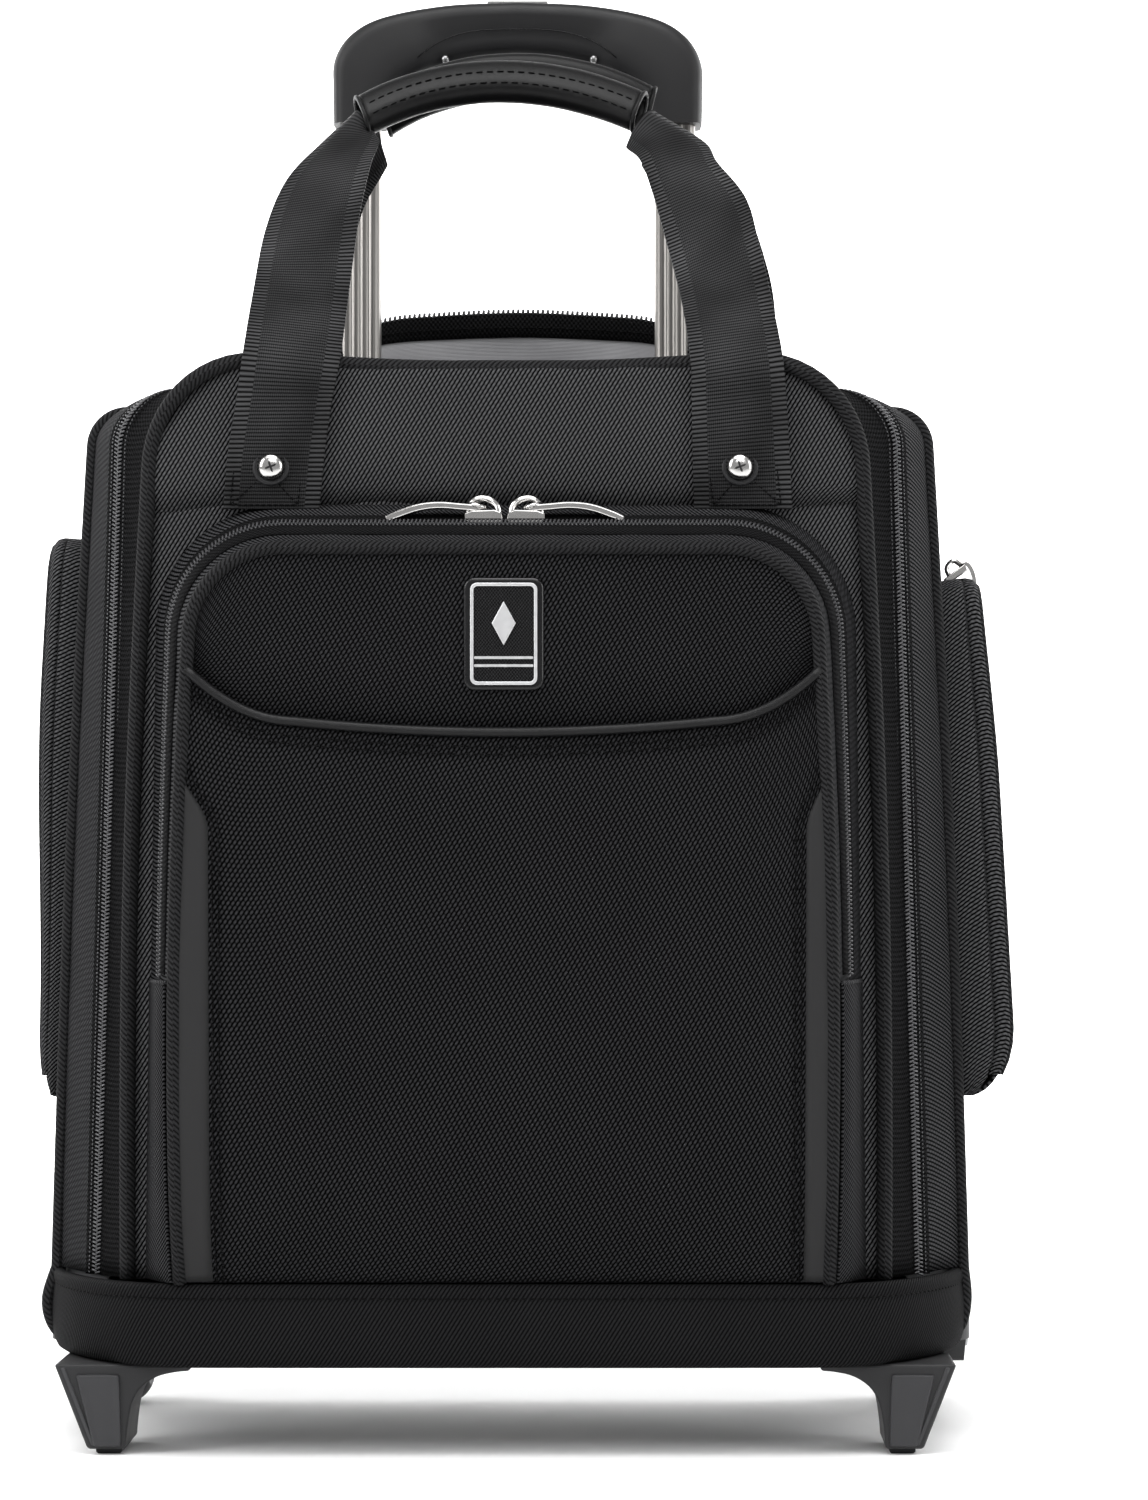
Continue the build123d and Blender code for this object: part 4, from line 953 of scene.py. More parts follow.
back_rows = turned_round(fill_rows(back_line, back_depth, 60))
grid_piece("case_back", back_rows, BLACK_FABRIC, "case", ("back_panel",), thick=1.6, skip=in_housing)
back_points = [p + at(0, 0.4, 0) + at(p.x, 0, p.z - 240).normalized() * 0.6 for p in back_ring]
cord_piece("back_piping_cord", [p for p in back_points if p.z > HOUSING_TOP], 2.0, ROPE, "case")
back_seams = []
for x in (-TUBE_X - 17, -TUBE_X + 17, TUBE_X - 17, TUBE_X + 17):
    back_seams += stitches([at(x, BACK_Y + 0.5, z) for z in range(70, 406, 8)])
for z in (96, 392):
    back_seams += stitches([at(x, BACK_Y + 0.6, z) for x in range(-150, 151, 10)])
pills_piece("back_stitching", back_seams, THREAD_BLACK, "case")

# Front pocket ---
POCKET_LOW = SEAM + 1.4
FOLD = dict(start=(0, -0.113, 0.1765), end=(0, -0.113, 0.190))
ZIP_T, ZIP_END = 0.52, 183.0


def foot_shift(z):
    """How far the pocket's face draws back towards the base seam at a height."""
    return 13.0 * max(0.0, 1 - (z - 67.0) / 73.0) ** 3


face_line = arch(POCKET_LOW, 124.4, FACE_TOP, 119.6, 36, bow=3.2)
face_ring = [at(p.x, FACE_Y + foot_shift(p.y), p.y) for p in face_line]
pocket_back_ring = ring(arch(POCKET_LOW, 137, 364, 133, 48), PANEL_Y - 0.6)
pocket_zip_ring = [a.lerp(b, ZIP_T) for a, b in zip(pocket_back_ring, face_ring)]


def pocket_line(t, out):
    """A line round the pocket's gusset, a share t of the way to its face and lifted off it."""
    return shifted(pocket_back_ring, face_ring, t, out)


def above(z):
    return lambda p: p.z > z


def trimmed(rows, keep):
    """The columns of a grid whose first point passes a test."""
    columns = [j for j, p in enumerate(rows[0]) if keep(p)]
    return [[row[j] for j in columns] for row in rows]


back_half = swell(between(pocket_back_ring, pocket_zip_ring, 4), 0.5, 0.3, 18, 31)
grid_piece("pocket_gusset_back", back_half, SHADED_GUSSET_FABRIC, "lid", ("lid_pocket_body",), thick=1.2)
front_half = swell(between(pocket_zip_ring, face_ring, 4), 0.5, 0.3, 18, 33)
gusset_front = grid_piece("pocket_gusset_front", front_half, SHADED_GUSSET_FABRIC, None, thick=1.2)
pocket_path = shifted(pocket_zip_ring, face_ring, 0.99, 1.1)
pocket_cord = cord_piece("pocket_piping_cord", pocket_path, PIPING, ROPE, None, sides=14)
seam_path = shifted(pocket_back_ring, pocket_zip_ring, 0.02, 0.4)
cord_piece("pocket_back_seam", seam_path, 1.3, ROPE, "lid")
coil_ring = pocket_line(ZIP_T, -1.2)
coil_turn = half_out(coil_ring, pocket_line(1.0, -1.2), 0.35)
pocket_frames = seam_frames(coil_ring, coil_turn, COIL_PITCH, above(ZIP_END + 0.5))
for side, half, body, span in (
    (-1, "back", "lid", (ZIP_T - 0.22, ZIP_T)), (1, "front", "pocket_flap", (ZIP_T, ZIP_T + 0.26))
):
    rows = trimmed([pocket_line(t, -0.75) for t in span], lambda p: p.z >= ZIP_END)
    grid_piece("pocket_tape_" + half, rows, TAPE, body, thick=0.5)
    pills_piece("pocket_coil_" + half, coil_half(pocket_frames, side, -0.3), POCKET_COIL, body)

# Twill sleeves that cover the zipper's ends, with a folded and stitched top edge
SLEEVE_TOP = 181.6
sleeve_rows = [pocket_line(t, h) for t, h in ((0.02, -0.9), (0.3, -1.7), (0.6, -2.2), (0.94, -1.5))]
for side, name in SIDES:
    half = len(sleeve_rows[0]) // 2
    part = trimmed([row[:half] if side < 0 else row[half:] for row in sleeve_rows], lambda p: p.z <= 182)
    tops = []
    for row in part:
        top, below = (row[-1], row[-2]) if side < 0 else (row[0], row[1])
        top += (top - below).normalized() * (SLEEVE_TOP - top.z)
        tops.append(top)
    grid_piece(name + "_zip_sleeve", part, SHADED_GUSSET_FABRIC, "lid", thick=1.1)
    hem = [p + at(0, -0.5, 0.1) + at(side * 0.4, 0, 0) for p in tops]
    cord_piece(name + "_sleeve_hem", hem, 0.9, BLACK_FABRIC, "lid")
    row = [p + at(0, -0.4, -3.4) + at(side * 0.5, 0, 0) for p in tops]
    pills_piece(name + "_sleeve_stitching", stitches(row), THREAD_BLACK, "lid")


def mouth(x):
    """Height of the slip pocket's mouth across the face."""
    side = max(0.0, abs(x) - 80)
    return 275.6 + 4.2 * min(1.0, abs(x) / 80) ** 2 + 0.02 * side + 0.0118 * side * side


def top_of(outline, x):
    """Height of an arch outline's top edge at a place across it."""
    best = outline[0].y
    for a, b in zip(outline, outline[1:]):
        if min(a.x, b.x) <= x <= max(a.x, b.x) and abs(b.x - a.x) > 1e-6:
            best = max(best, lerp(a.y, b.y, (x - a.x) / (b.x - a.x)))
    return best


def face_point(x, z, out=0.0):
    """A point on the pocket's padded face, lifted off it by a little."""
    s = x / half_at(face_line, z)
    t = (z - POCKET_LOW) / (280 - POCKET_LOW)
    rise = 3.4 * (1 - abs(s) ** 3.2) * (1 - abs(2 * min(1, max(0, t)) - 1) ** 5)
    return at(x, FACE_Y + foot_shift(z) - 0.2 - rise - 0.45 * ripple((x, 0, z), 42, 40) - out, z)


COLUMNS, ROWS = 64, 56
face_rows = []
for t in even(0, 1, ROWS):
    heights = [(s, lerp(POCKET_LOW, mouth(s * half_at(face_line, 250)), t)) for s in even(-1, 1, COLUMNS)]
    face_rows.append([face_point(s * half_at(face_line, z), z) for s, z in heights])
pocket_face = grid_piece("pocket_face", face_rows, SHADED_POCKET_FABRIC, None, ("slip_panel",), thick=1.3)


def upper_point(s, t):
    """A point on the panel above the slip pocket, which dips in behind the pocket's mouth."""
    x = s * (half_at(face_line, 300) - 0.4)
    low, high = mouth(x) - 9, top_of(face_line, x) - 0.6
    z = lerp(low, high, t)
    dip = 5.2 * (1 - smooth((z - low) / 34))
    edge = 1 - abs(x / 119) ** 6
    puff = 1.6 * edge * math.sin(math.pi * t) + 0.3 * ripple((x, 0, z), 30, 47)
    return at(x, FACE_Y + 0.5 + dip - puff, z)


def cover_lining_point(s, t):
    x = 116 * s
    z = lerp(184, top_of(face_line, x) - 3, t)
    return at(x, -105.0 + 0.7 * ripple((x, 0, z), 35, 50), z)


upper_rows = [[upper_point(s, t) for s in even(-1, 1, COLUMNS)] for t in even(0, 1, 18)]
upper_panel = grid_piece(
    "pocket_upper_panel", upper_rows, SHADED_POCKET_FABRIC, "pocket_flap", ("pocket_cover",), thick=1.3
)
cover_rows = [[cover_lining_point(s, t) for s in even(1, -1, 24)] for t in even(0, 1, 12)]
grid_piece("pocket_cover_lining", cover_rows, LINING, "pocket_flap", thick=0.8)
trim_path = []
for x in even(-120.2, 120.2, 80):
    p = face_point(x, min(mouth(x), 279), 0.6)
    trim_path.append(at(x, p.y, mouth(x) + 0.9))
cord_piece("mouth_binding", trim_path, 1.9, TRIM, "pocket_flap", ("trim_band",), sides=12)
mouth_seams = []
for drop in (4.6, 7.6):
    line = [face_point(x, mouth(x) - drop, 0.75) for x in even(-118.5, 118.5, 90)]
    mouth_seams += stitches(line, pitch=2.6, length=1.7, radius=0.42)
pills_piece("mouth_stitching", mouth_seams, THREAD_BLACK, "pocket_flap")


def accent_inner(side, z):
    """Inner edge of a grey side strip, which sweeps out to a point at its top."""
    base = 111.2 if side < 0 else 114.2
    tip = smooth((z - 240) / 26) * (half_at(face_line, 262) - base)
    return base + 0.004 * (z - 160) + tip


for side, name in SIDES:
    rows, seam = [], []
    for z in even(POCKET_LOW + 0.3, 264.0, 63):
        outer = half_at(face_line, z) - 0.3
        inner = min(accent_inner(side, z), outer - 0.4)
        across = zip(even(inner, outer, 4), (0.15, 0.5, 0.5, 0.5, 0.15))
        rows.append([face_point(side * x, z, out) for x, out in across])
        seam.append((side * (inner - 1.6), z))
    strip = grid_piece(name + "_accent_strip", facing(side, rows), ACCENT, None, thick=0.7)
    items = []
    for shift in (0.0, 2.4):
        line = [face_point(x - side * shift, z, 0.7) for x, z in seam]
        items += stitches(line, pitch=2.6, length=1.7, radius=0.4)
    row = pills_piece(name + "_accent_stitching", items, THREAD_BLACK, None)
    for obj in (strip, row):
        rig.blend(obj, "lid", "pocket_flap", **FOLD)
for obj in (gusset_front, pocket_cord, pocket_face):
    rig.blend(obj, "lid", "pocket_flap", **FOLD)

# Badge: a plain plate in a bright frame with a lozenge over two bars ---
BADGE_X, BADGE_Z, BADGE_Y = 0.2, 313.6, FACE_Y - 0.2


def badge_part(name, outline, depths, material, replaces=(), round_off=None):
    """A raised part of the badge; its outline and depths are measured from the badge's middle."""
    placed = [(BADGE_X + x, BADGE_Z + z) for x, z in outline]
    span = [BADGE_Y + y for y in depths]
    slot = None if replaces else "chrome"
    prism_piece(name, placed, span, material, "pocket_flap", replaces, slot, round_off)


badge_part("badge_plate", rounded(30.4, 42.6, 4.2), (1.5, -2.0), BADGE_BLACK, ("badge",), (1.1, 4))
outer_rim, inner_rim = rounded(25.4, 38.6, 2.6), rounded(22.8, 36.0, 1.6)
count = len(outer_rim)
rim_points, rim_faces = [], []
for loop, y in ((outer_rim, -1.9), (outer_rim, -2.5), (inner_rim, -2.5), (inner_rim, -1.9)):
    rim_points += [at(BADGE_X + x, BADGE_Y + y, BADGE_Z + z) for x, z in loop]
for a in (0, count, 2 * count):
    for n in range(count):
        m = (n + 1) % count
        rim_faces.append((a + n, a + m, a + count + m, a + count + n))
rim = mesh_piece("badge_frame", rim_points, rim_faces, BADGE_BRIGHT, "pocket_flap", flat=True)
bevelled(rim, 0.25, 2)
field_rows = [
    [at(BADGE_X + x, BADGE_Y - 2.06, BADGE_Z + z) for x in even(-11.3, 11.3, 8)] for z in (-17.9, 0, 17.9)
]
grid_piece("badge_field", field_rows, BADGE_FIELD, "pocket_flap")
for k, z in enumerate((-12.0, -9.0)):
    badge_part(f"badge_bar_{k}", rounded(22.4, 1.0, 0.4, (0, z), 3), (-2.0, -2.5), BADGE_BRIGHT)
LOZENGE = [(-4.6, 4), (0, -4.4), (4.6, 4), (0, 12.4)]
badge_part("badge_lozenge", LOZENGE, (-2.0, -2.6), BADGE_BRIGHT, round_off=(0.3, 2))

# Base band ---
BASE_SECTION = (
    (2.6, 66.8), (0.6, 66.5), (-0.5, 65.2), (-0.7, 63.0), (-0.2, 61.2), (-0.6, 59.0), (-1.2, 53.0),
    (-1.2, 47.0), (-0.8, 42.0), (0.0, 38.6), (1.2, 36.2), (3.4, 34.8), (7.0, 34.2), (14.0, 34.0),
    (30.0, 34.0)
)
TUCK = 4.4


def resampled(points, pitch):
    """The same line with points no further apart than a pitch."""
    out = []
    for a, b in zip(points, points[1:]):
        n = max(1, math.ceil((b - a).length / pitch))
        out += [a.lerp(b, k / n) for k in range(n)]
    return out + [points[-1]]


def band_rows_along(path):
    """Rows of a band that follows the base's plan, from its lower edge up to its top one."""
    sides = []
    for k in range(len(path)):
        t = (path[min(k + 1, len(path) - 1)] - path[max(k - 1, 0)]).normalized()
        sides.append(Vector((t.y, -t.x)))
    rows = []
    for inset, z in reversed(BASE_SECTION):
        lift = math.exp(-(((z - 52) / 12) ** 2))
        under = max(0.0, inset - TUCK)
        row = []
        for p, n in zip(path, sides):
            puff = 0.7 * lift * ripple((p.x, p.y, z), 38, 60)
            flat = p + n * (puff - min(inset, TUCK))
            row.append(at(flat.x * (1 - under / 190), flat.y + under * (30 - flat.y) / 150, z))
        rows.append(row)
    return rows


plan = [(-184.6, HOUSING_Y), (-184.4, 22), (-181.2, -22), (-172.5, -54), (-154.5, -83), (-130.5, -99.2)]
plan += [(-94, -101.6), (-40, -101.8), (0, -101.8)]
plan += [(-x - 1.6 * smooth((-x - 100) / 60), y) for x, y in reversed(plan[:-1])]
front_path = [p.xy for p in curve_through([(x, y, 0) for x, y in plan], 110)]
rear_path = resampled([Vector((146.4, BACK_Y)), Vector((-146.4, BACK_Y))], 6)
hem_seams = []
for path, end, replaces in ((front_path, "front", ("base_band",)), (rear_path, "rear", ())):
    rows = band_rows_along(path)
    grid_piece("base_band_" + end, rows, BASE_FABRIC, "case", replaces, thick=1.6)
    hem_seams += stitches([p + at(0, -0.25, 0) for p in rows[-5]])
pills_piece("base_band_stitching", hem_seams, THREAD_BLACK, "case", slot="twill")

# Carry handles ---
STRAP_HALF = 18.75


def strap_piece(name, inner, outer, body_low, body_high, fold, replaced=()):
    """A webbing arm between its two edge lines, whose edges curl back under the wrap."""
    n, across, curl = 84, 14, 5.0
    a, b = curve_through(inner, n), curve_through(outer, n)
    rows = []
    for k, t in enumerate(even(0, 1, n - 1)):
        step = b[min(k + 1, n - 1)] - b[max(k - 1, 0)]
        normal = (b[k] - a[k]).cross(step).normalized()
        if normal.y > 0:
            normal = -normal
        bend = curl * smooth((t - 0.72) / 0.28)
        sag = 0.7 * math.sin(math.pi * t) * ripple(a[k], 60, 90)
        row = []
        for s in even(-1, 1, across):
            depth = -bend * (abs(s) ** 2.2) + sag * (1 - s * s) - 0.35 * (abs(s) > 0.7)
            row.append(a[k].lerp(b[k], (s + 1) / 2) + normal * depth)
        rows.append(row)
    if (rows[1][0] - rows[0][0]).cross(rows[0][1] - rows[0][0]).y > 0:
        rows = turned_round(rows)
    strap = grid_piece(name, rows, WEBBING, None, replaced)
    layer = strap.data.uv_layers[0]
    along = [0.0]
    for r, q in zip(rows, rows[1:]):
        along.append(along[-1] + (q[across // 2] - r[across // 2]).length * MM)
    for loop in strap.data.loops:
        k, c = divmod(loop.vertex_index, across + 1)
        layer.data[loop.index].uv = ((2 * c / across - 1) * STRAP_HALF * MM, along[k])
    thicken(strap, 1.5)
    bevelled(strap, 0.35, 2)
    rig.blend(strap, body_low, body_high, **fold)


FRONT_FOLD = dict(start=(0, -0.0850, 0.4130), end=(0, -0.0820, 0.4300))
REAR_FOLD = dict(start=(0, 0.0470, 0.4130), end=(0, 0.0465, 0.4270))
strap_piece(
    "front_strap_left",
    [(-71.6, -83.2, 363), (-69.4, -85.6, 384), (-66.4, -86.2, 405), (-63.5, -86.2, 420),
     (-61.8, -67, 444), (-59.0, -41, 480), (-55.6, -24, 503), (-53.4, -14.6, 515.5), (-56, -11.5, 520)],
    [(-108.6, -83.2, 363), (-106.6, -85.6, 384), (-103.2, -86.2, 405), (-100.8, -84, 424),
     (-98.8, -66, 447), (-95.6, -44, 475), (-88.6, -27, 497), (-75.2, -12.5, 516), (-62.5, -4, 531)],
    "lid", "front_handle", FRONT_FOLD, ("front_straps", "front_strap_anchors"),
)
strap_piece(
    "front_strap_right",
    [(72.4, -83.2, 363), (71.8, -85.6, 384), (71.4, -86.2, 405), (70.9, -85.4, 420),
     (67.9, -69, 443), (62.6, -50, 467), (57.2, -34, 489), (52.0, -19.5, 508), (46.6, -13, 516)],
    [(110.0, -83.2, 363), (109.0, -85.6, 384), (107.8, -86.2, 405), (106.6, -84.6, 420), (103.9, -72, 438),
     (98.3, -48.5, 469), (93.4, -33, 489), (82.4, -21, 505), (76.5, -13, 516.5), (56.0, -3, 531.5)],
    "lid", "front_handle", FRONT_FOLD,
)
REAR_INNER = [
    (66.8, 66, 411.4), (66.8, 56, 411.8), (66.7, 48.2, 412.6), (67.4, 46.4, 418), (71.0, 43, 440),
    (68.0, 39, 468), (62.6, 35.6, 494), (53.0, 33, 513)
]
REAR_OUTER = [
    (104.2, 66, 411.4), (104.2, 56, 411.8), (104.1, 48.2, 412.6), (104.9, 46.4, 418), (107.5, 43, 440),
    (104.0, 39, 470), (89.5, 35, 503), (56.0, 31, 532)
]
for side, name in SIDES:
    edge_lines = [[(side * x, y, z) for x, y, z in line] for line in (REAR_INNER, REAR_OUTER)]
    replaced = ("rear_straps", "rear_strap_anchors") if side < 0 else ()
    strap_piece("rear_strap_" + name, *edge_lines, "case", "rear_handle", REAR_FOLD, replaced)


def wrap_piece(name, hinge, apex, middle, half, sag, body, replaced):
    """The leather wrap of a carry handle, with its folded end lips and two rows of stitches."""
    lean = at(0, apex[0] - hinge[0], apex[1] - hinge[1])
    reach = lean.length
    lean.normalize()
    off = at(1, 0, 0).cross(lean)
    if off.y > 0:
        off = -off
    stations = []
    for s in even(-1, 1, 48):
        r = reach - sag * s * s - 2.6 * max(0.0, -s) ** 4
        inward = at(1.1 * sag * s / half, 0, 0) + lean
        stations.append((at(middle + s * half, *hinge) + lean * r, inward.normalized()))

    def rim(k, turn, wide, deep):
        """A point on the wrap's rounded section at a station."""
        x, y = squared(turn, 0.78)
        return stations[k][0] + stations[k][1] * x * wide + off * y * deep

    def section(k, grow):
        wide = 9.5 + grow - 0.7 * (abs(k - 24) / 24) ** 4
        return [rim(k, turn, wide, 6.4 + grow) for turn in even(0, math.tau, 36)]

    rows = [section(k, 0.25 * ripple(stations[k][0], 16, 120)) for k in range(49)]
    wrap = grid_piece(name, rows, LEATHER, body, replaced, thick=1.4)
    for end, k in (("left", 0), ("right", 48)):
        cord_piece(f"{name}_lip_{end}", section(k, -0.2), 0.95, LEATHER, body, sides=8)
    items = []
    for turn in (1.62, 2.18):
        line = [rim(k, turn, 9.6, 6.55) for k in range(1, 48)]
        items += stitches(line, pitch=4.2, length=2.7, radius=0.3)
    pills_piece(name + "_stitching", items, THREAD_BLACK, body, slot="leather")
    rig.padded(wrap, fill=0.9)


wrap_piece("front_wrap_leather", (-84.5, 421), (6, 542), -4.4, 55.5, 17.5, "front_handle", ("front_wrap",))
wrap_piece("rear_wrap_leather", (47, 414.8), (29.5, 548), 1.5, 54, 13, "rear_handle", ("rear_wrap",))

# Screws that hold the front straps' feet ---


def turned_piece(name, centre, profile, material, body, replaces=(), slot=None, sides=40):
    """A round piece about an axis along Y, from (radius, depth) pairs."""
    points, faces = [], []
    for radius, depth in profile:
        for a in even(0, math.tau, sides)[:-1]:
            points.append(at(centre[0] + radius * math.cos(a), depth, centre[1] + radius * math.sin(a)))
    for r in range(0, (len(profile) - 1) * sides, sides):
        for k in range(sides):
            n = (k + 1) % sides
            faces.append((r + k, r + n, r + sides + n, r + sides + k))
    faces.append(tuple(range(len(points) - sides, len(points))))
    return mesh_piece(name, points, faces, material, body, replaces, slot)


SCREW_X, SCREW_Y, SCREW_Z = 90.0, -86.0, 379.0
RING = ((7.3, 1.5), (7.3, -0.2), (6.9, -0.8), (6.2, -1.0), (5.4, -0.7), (5.2, 0))
HEAD = (
    (4.9, 0.5), (4.95, -0.9), (4.8, -1.7), (4.3, -2.4), (3.4, -2.9), (2.2, -3.2), (1.0, -3.3),
    (0.2, -3.32)
)
foot_seams = []
for side, name in SIDES:
    place = (side * SCREW_X, SCREW_Z)
    ring_profile, head_profile = ([(r, SCREW_Y + y) for r, y in part] for part in (RING, HEAD))
    replaced = ("handle_screws",) if side < 0 else ()
    turned_piece(name + "_screw_ring", place, ring_profile, PLASTIC, "lid", replaced, slot="steel")
    turned_piece(name + "_screw_head", place, head_profile, CHROME, "lid")
    # Painted shade: the cross slot is drawn as gloss black bars on the chrome head, where its recess would lie in
    # shadow.
    centre = at(side * SCREW_X, SCREW_Y - 3.02, SCREW_Z)
    cross = [(centre, at(math.cos(a), 0, math.sin(a)) * 2.3, 0.55) for a in (0.35, 0.35 + math.pi / 2)]
    pills_piece(name + "_screw_slot", cross, BADGE_BLACK, "lid", slot="chrome", sides=8)
    # Box and cross stitching where the strap is sewn down
    loop = []
    for x, z in ((-13, 364.5), (13, 364.5), (13, 389.5), (-13, 389.5), (-13, 364.5)):
        lean_x = side * (90.6 + (384 - z) * 0.11)
        loop.append(at(x + lean_x, -86.55 + 0.08 * (380 - z) * (z < 380), z))
    for a, b in ((0, 1), (1, 2), (2, 3), (3, 4), (0, 2), (1, 3)):
        run = [loop[a].lerp(loop[b], t) for t in even(0, 1, 8)]
        foot_seams += stitches(run, pitch=2.3, length=1.6, radius=0.32)
pills_piece("front_strap_stitching", foot_seams, THREAD_BLACK, "lid", slot="webbing")

# Telescoping handle ---


def fluted(width, depth):
    """A tube's outline with rounded corners and shallow grooves along its broad faces."""
    corners = rounded(width, depth, 3.0, (0, 0), 5)
    half = width / 2 - 3.0
    groove = []
    for x in even(half, -half, 32)[1:-1]:
        dip = sum(0.55 * math.exp(-(((x / (width / 2) - f) / 0.09) ** 2)) for f in (-0.42, 0.0, 0.42))
        groove.append((x, depth / 2 - dip))
    return corners[:6] + groove + corners[6:18] + [(-x, -y) for x, y in groove] + corners[18:]


for name, size, low, high, body, node in (
    ("inner", (17.0, 12.0), 232.0, 562.0, "grip_stage", "inner_tubes"),
    ("middle", (19.0, 15.0), 44.0, 357.8, "mid_stage", "mid_tubes")
):
    for side, hand in SIDES:
        outline = [(side * TUBE_X + x, TUBE_Y + y) for x, y in fluted(*size)]
        n = len(outline)
        points = [at(x, y, z) for z in (low, high) for x, y in outline]
        faces = [(i, (i + 1) % n, n + (i + 1) % n, n + i) for i in range(n)]
        replaced = (node,) if side < 0 else ()
        tube = mesh_piece(f"{name}_tube_{hand}", points, faces, ALUMINIUM, body, replaced, flat=True)
        thicken(tube, 1.2)

OUTER_EDGE = [(-77, 536), (-77.2, 550), (-76.6, 563), (-69.6, 573.6), (-56, 580.8), (-30, 585.6), (0, 587)]
INNER_EDGE = [(-54.5, 536), (-53.6, 543), (-50.5, 549), (-45, 554), (-34, 559.4), (-18, 563.6), (0, 565)]
GRIP_SIDES = 44


def both_halves(edge):
    """An edge of the grip from its left leg over the top to its right leg."""
    half = outline_through(edge, 46)
    return half + [at(-p.x, 0, p.z) for p in reversed(half[:-1])]


def grip_point(a, b, turn):
    """A point on the grip's squared section, with the hollow and the ridge of its front."""
    c, d = math.cos(turn), math.sin(turn)
    across, deep = squared(turn, 0.42)
    place = (a + b) / 2 + (b - a) / 2 * across
    hollow = smooth((41 - abs(place.x)) / 9) * smooth((0.45 - across) / 0.3) * smooth((-d - 0.2) / 0.5)
    ridge = smooth((across - 0.1) / 0.25) * smooth((-d - 0.2) / 0.5) * smooth((abs(place.x) - 20) / 25)
    place.y = TUBE_Y + deep * 14.0 + 1.7 * hollow + 0.9 * ridge
    return place


inner_edge, outer_edge = both_halves(INNER_EDGE), both_halves(OUTER_EDGE)
turns = even(0, math.tau, GRIP_SIDES)
grip_rows = [[grip_point(a, b, turn) for turn in turns] for a, b in zip(inner_edge, outer_edge)]
grid_piece("grip_shell", grip_rows, GRIP_PLASTIC, "grip_stage", ("grip_front", "grip_rear"))
loop = range(GRIP_SIDES)
for index, rows, face in ((0, grip_rows[0], tuple(reversed(loop))), (1, grip_rows[-1], tuple(loop))):
    mesh_piece(f"grip_leg_cap_{index}", rows[:-1], [face], GRIP_PLASTIC, "grip_stage")
parting = [b + at(0, TUBE_Y, 0) for b in outer_edge]
recess = [at(41.5 * s, TUBE_Y - 13.75, 574.6 - 11.8 * abs(s) ** 3.2) for s in even(-1, 1, 40)]
for name, path, radius in (("parting", parting, 0.35), ("recess", recess, 0.28)):
    cord_piece(f"grip_{name}_line", path, radius, BADGE_BLACK, "grip_stage", slot="grip_plastic", sides=6)
RIVET = ((1.5, 76.0), (1.5, 73.0), (1.1, 72.5), (0.3, 72.3))
for name, x in (("left", -30.0), ("right", 32.0)):
    turned_piece("grip_rivet_" + name, (x, 562.5), RIVET, GUNMETAL, "grip_stage")

# Flap of the handle pocket ---
FLAP_Y, FLAP_LOW, FLAP_TOP, FLAP_HALF = 106.7, 413.6, 460.6, 72.6


def flap_point(x, t, lift=0.0):
    """A point on the flap's softly folded lining, a share t of the way up."""
    top = FLAP_TOP - 1.2 + 0.9 * math.cos(x / 17) - 11 * abs(x / 73) ** 7
    z = lerp(FLAP_LOW, top, t)
    fold = 2.0 * math.sin(x / 13 + 3 * t) * math.sin(math.pi * min(1, t * 1.15))
    return at(x, FLAP_Y + 0.6 * (fold + 0.9 * ripple((x, 0, z), 16, 70)) + lift, z)


def flap_line(t, lift, half=FLAP_HALF, count=60):
    return [flap_point(x, t, lift) for x in even(-half, half, count)]


heights = even(0, 1, 16)
flap = grid_piece(
    "handle_flap_lining", [flap_line(t, 0) for t in heights], LINING, "handle_flap", ("handle_flap",),
    thick=0.6
)
outside = turned_round([flap_line(t, 1.0) for t in heights])
grid_piece("handle_flap_outside", outside, BLACK_FABRIC, "handle_flap", slot="lining")
tape = [flap_line(t, -0.7) for t in (0.775, 0.85, 0.93, 1.0)]
grid_piece("handle_flap_tape", tape, TAPE, "handle_flap", slot="lining", thick=0.6)
UP = at(0, 0, 1)
coil = [(p + UP * 0.3, UP * 1.2 + d * 0.2, 0.7) for p, d in spaced(flap_line(1.0, -0.5, count=90), 2.1)]
pills_piece("handle_flap_coil", coil, COIL, "handle_flap")
flap_seam = stitches(flap_line(0.86, -1.35, half=71))
pills_piece("handle_flap_stitching", flap_seam, THREAD_BLACK, "handle_flap", slot="lining")
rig.sheet(flap, flat=(0.146, 0.0455), held="stretched", rests_on=["top_panel"])

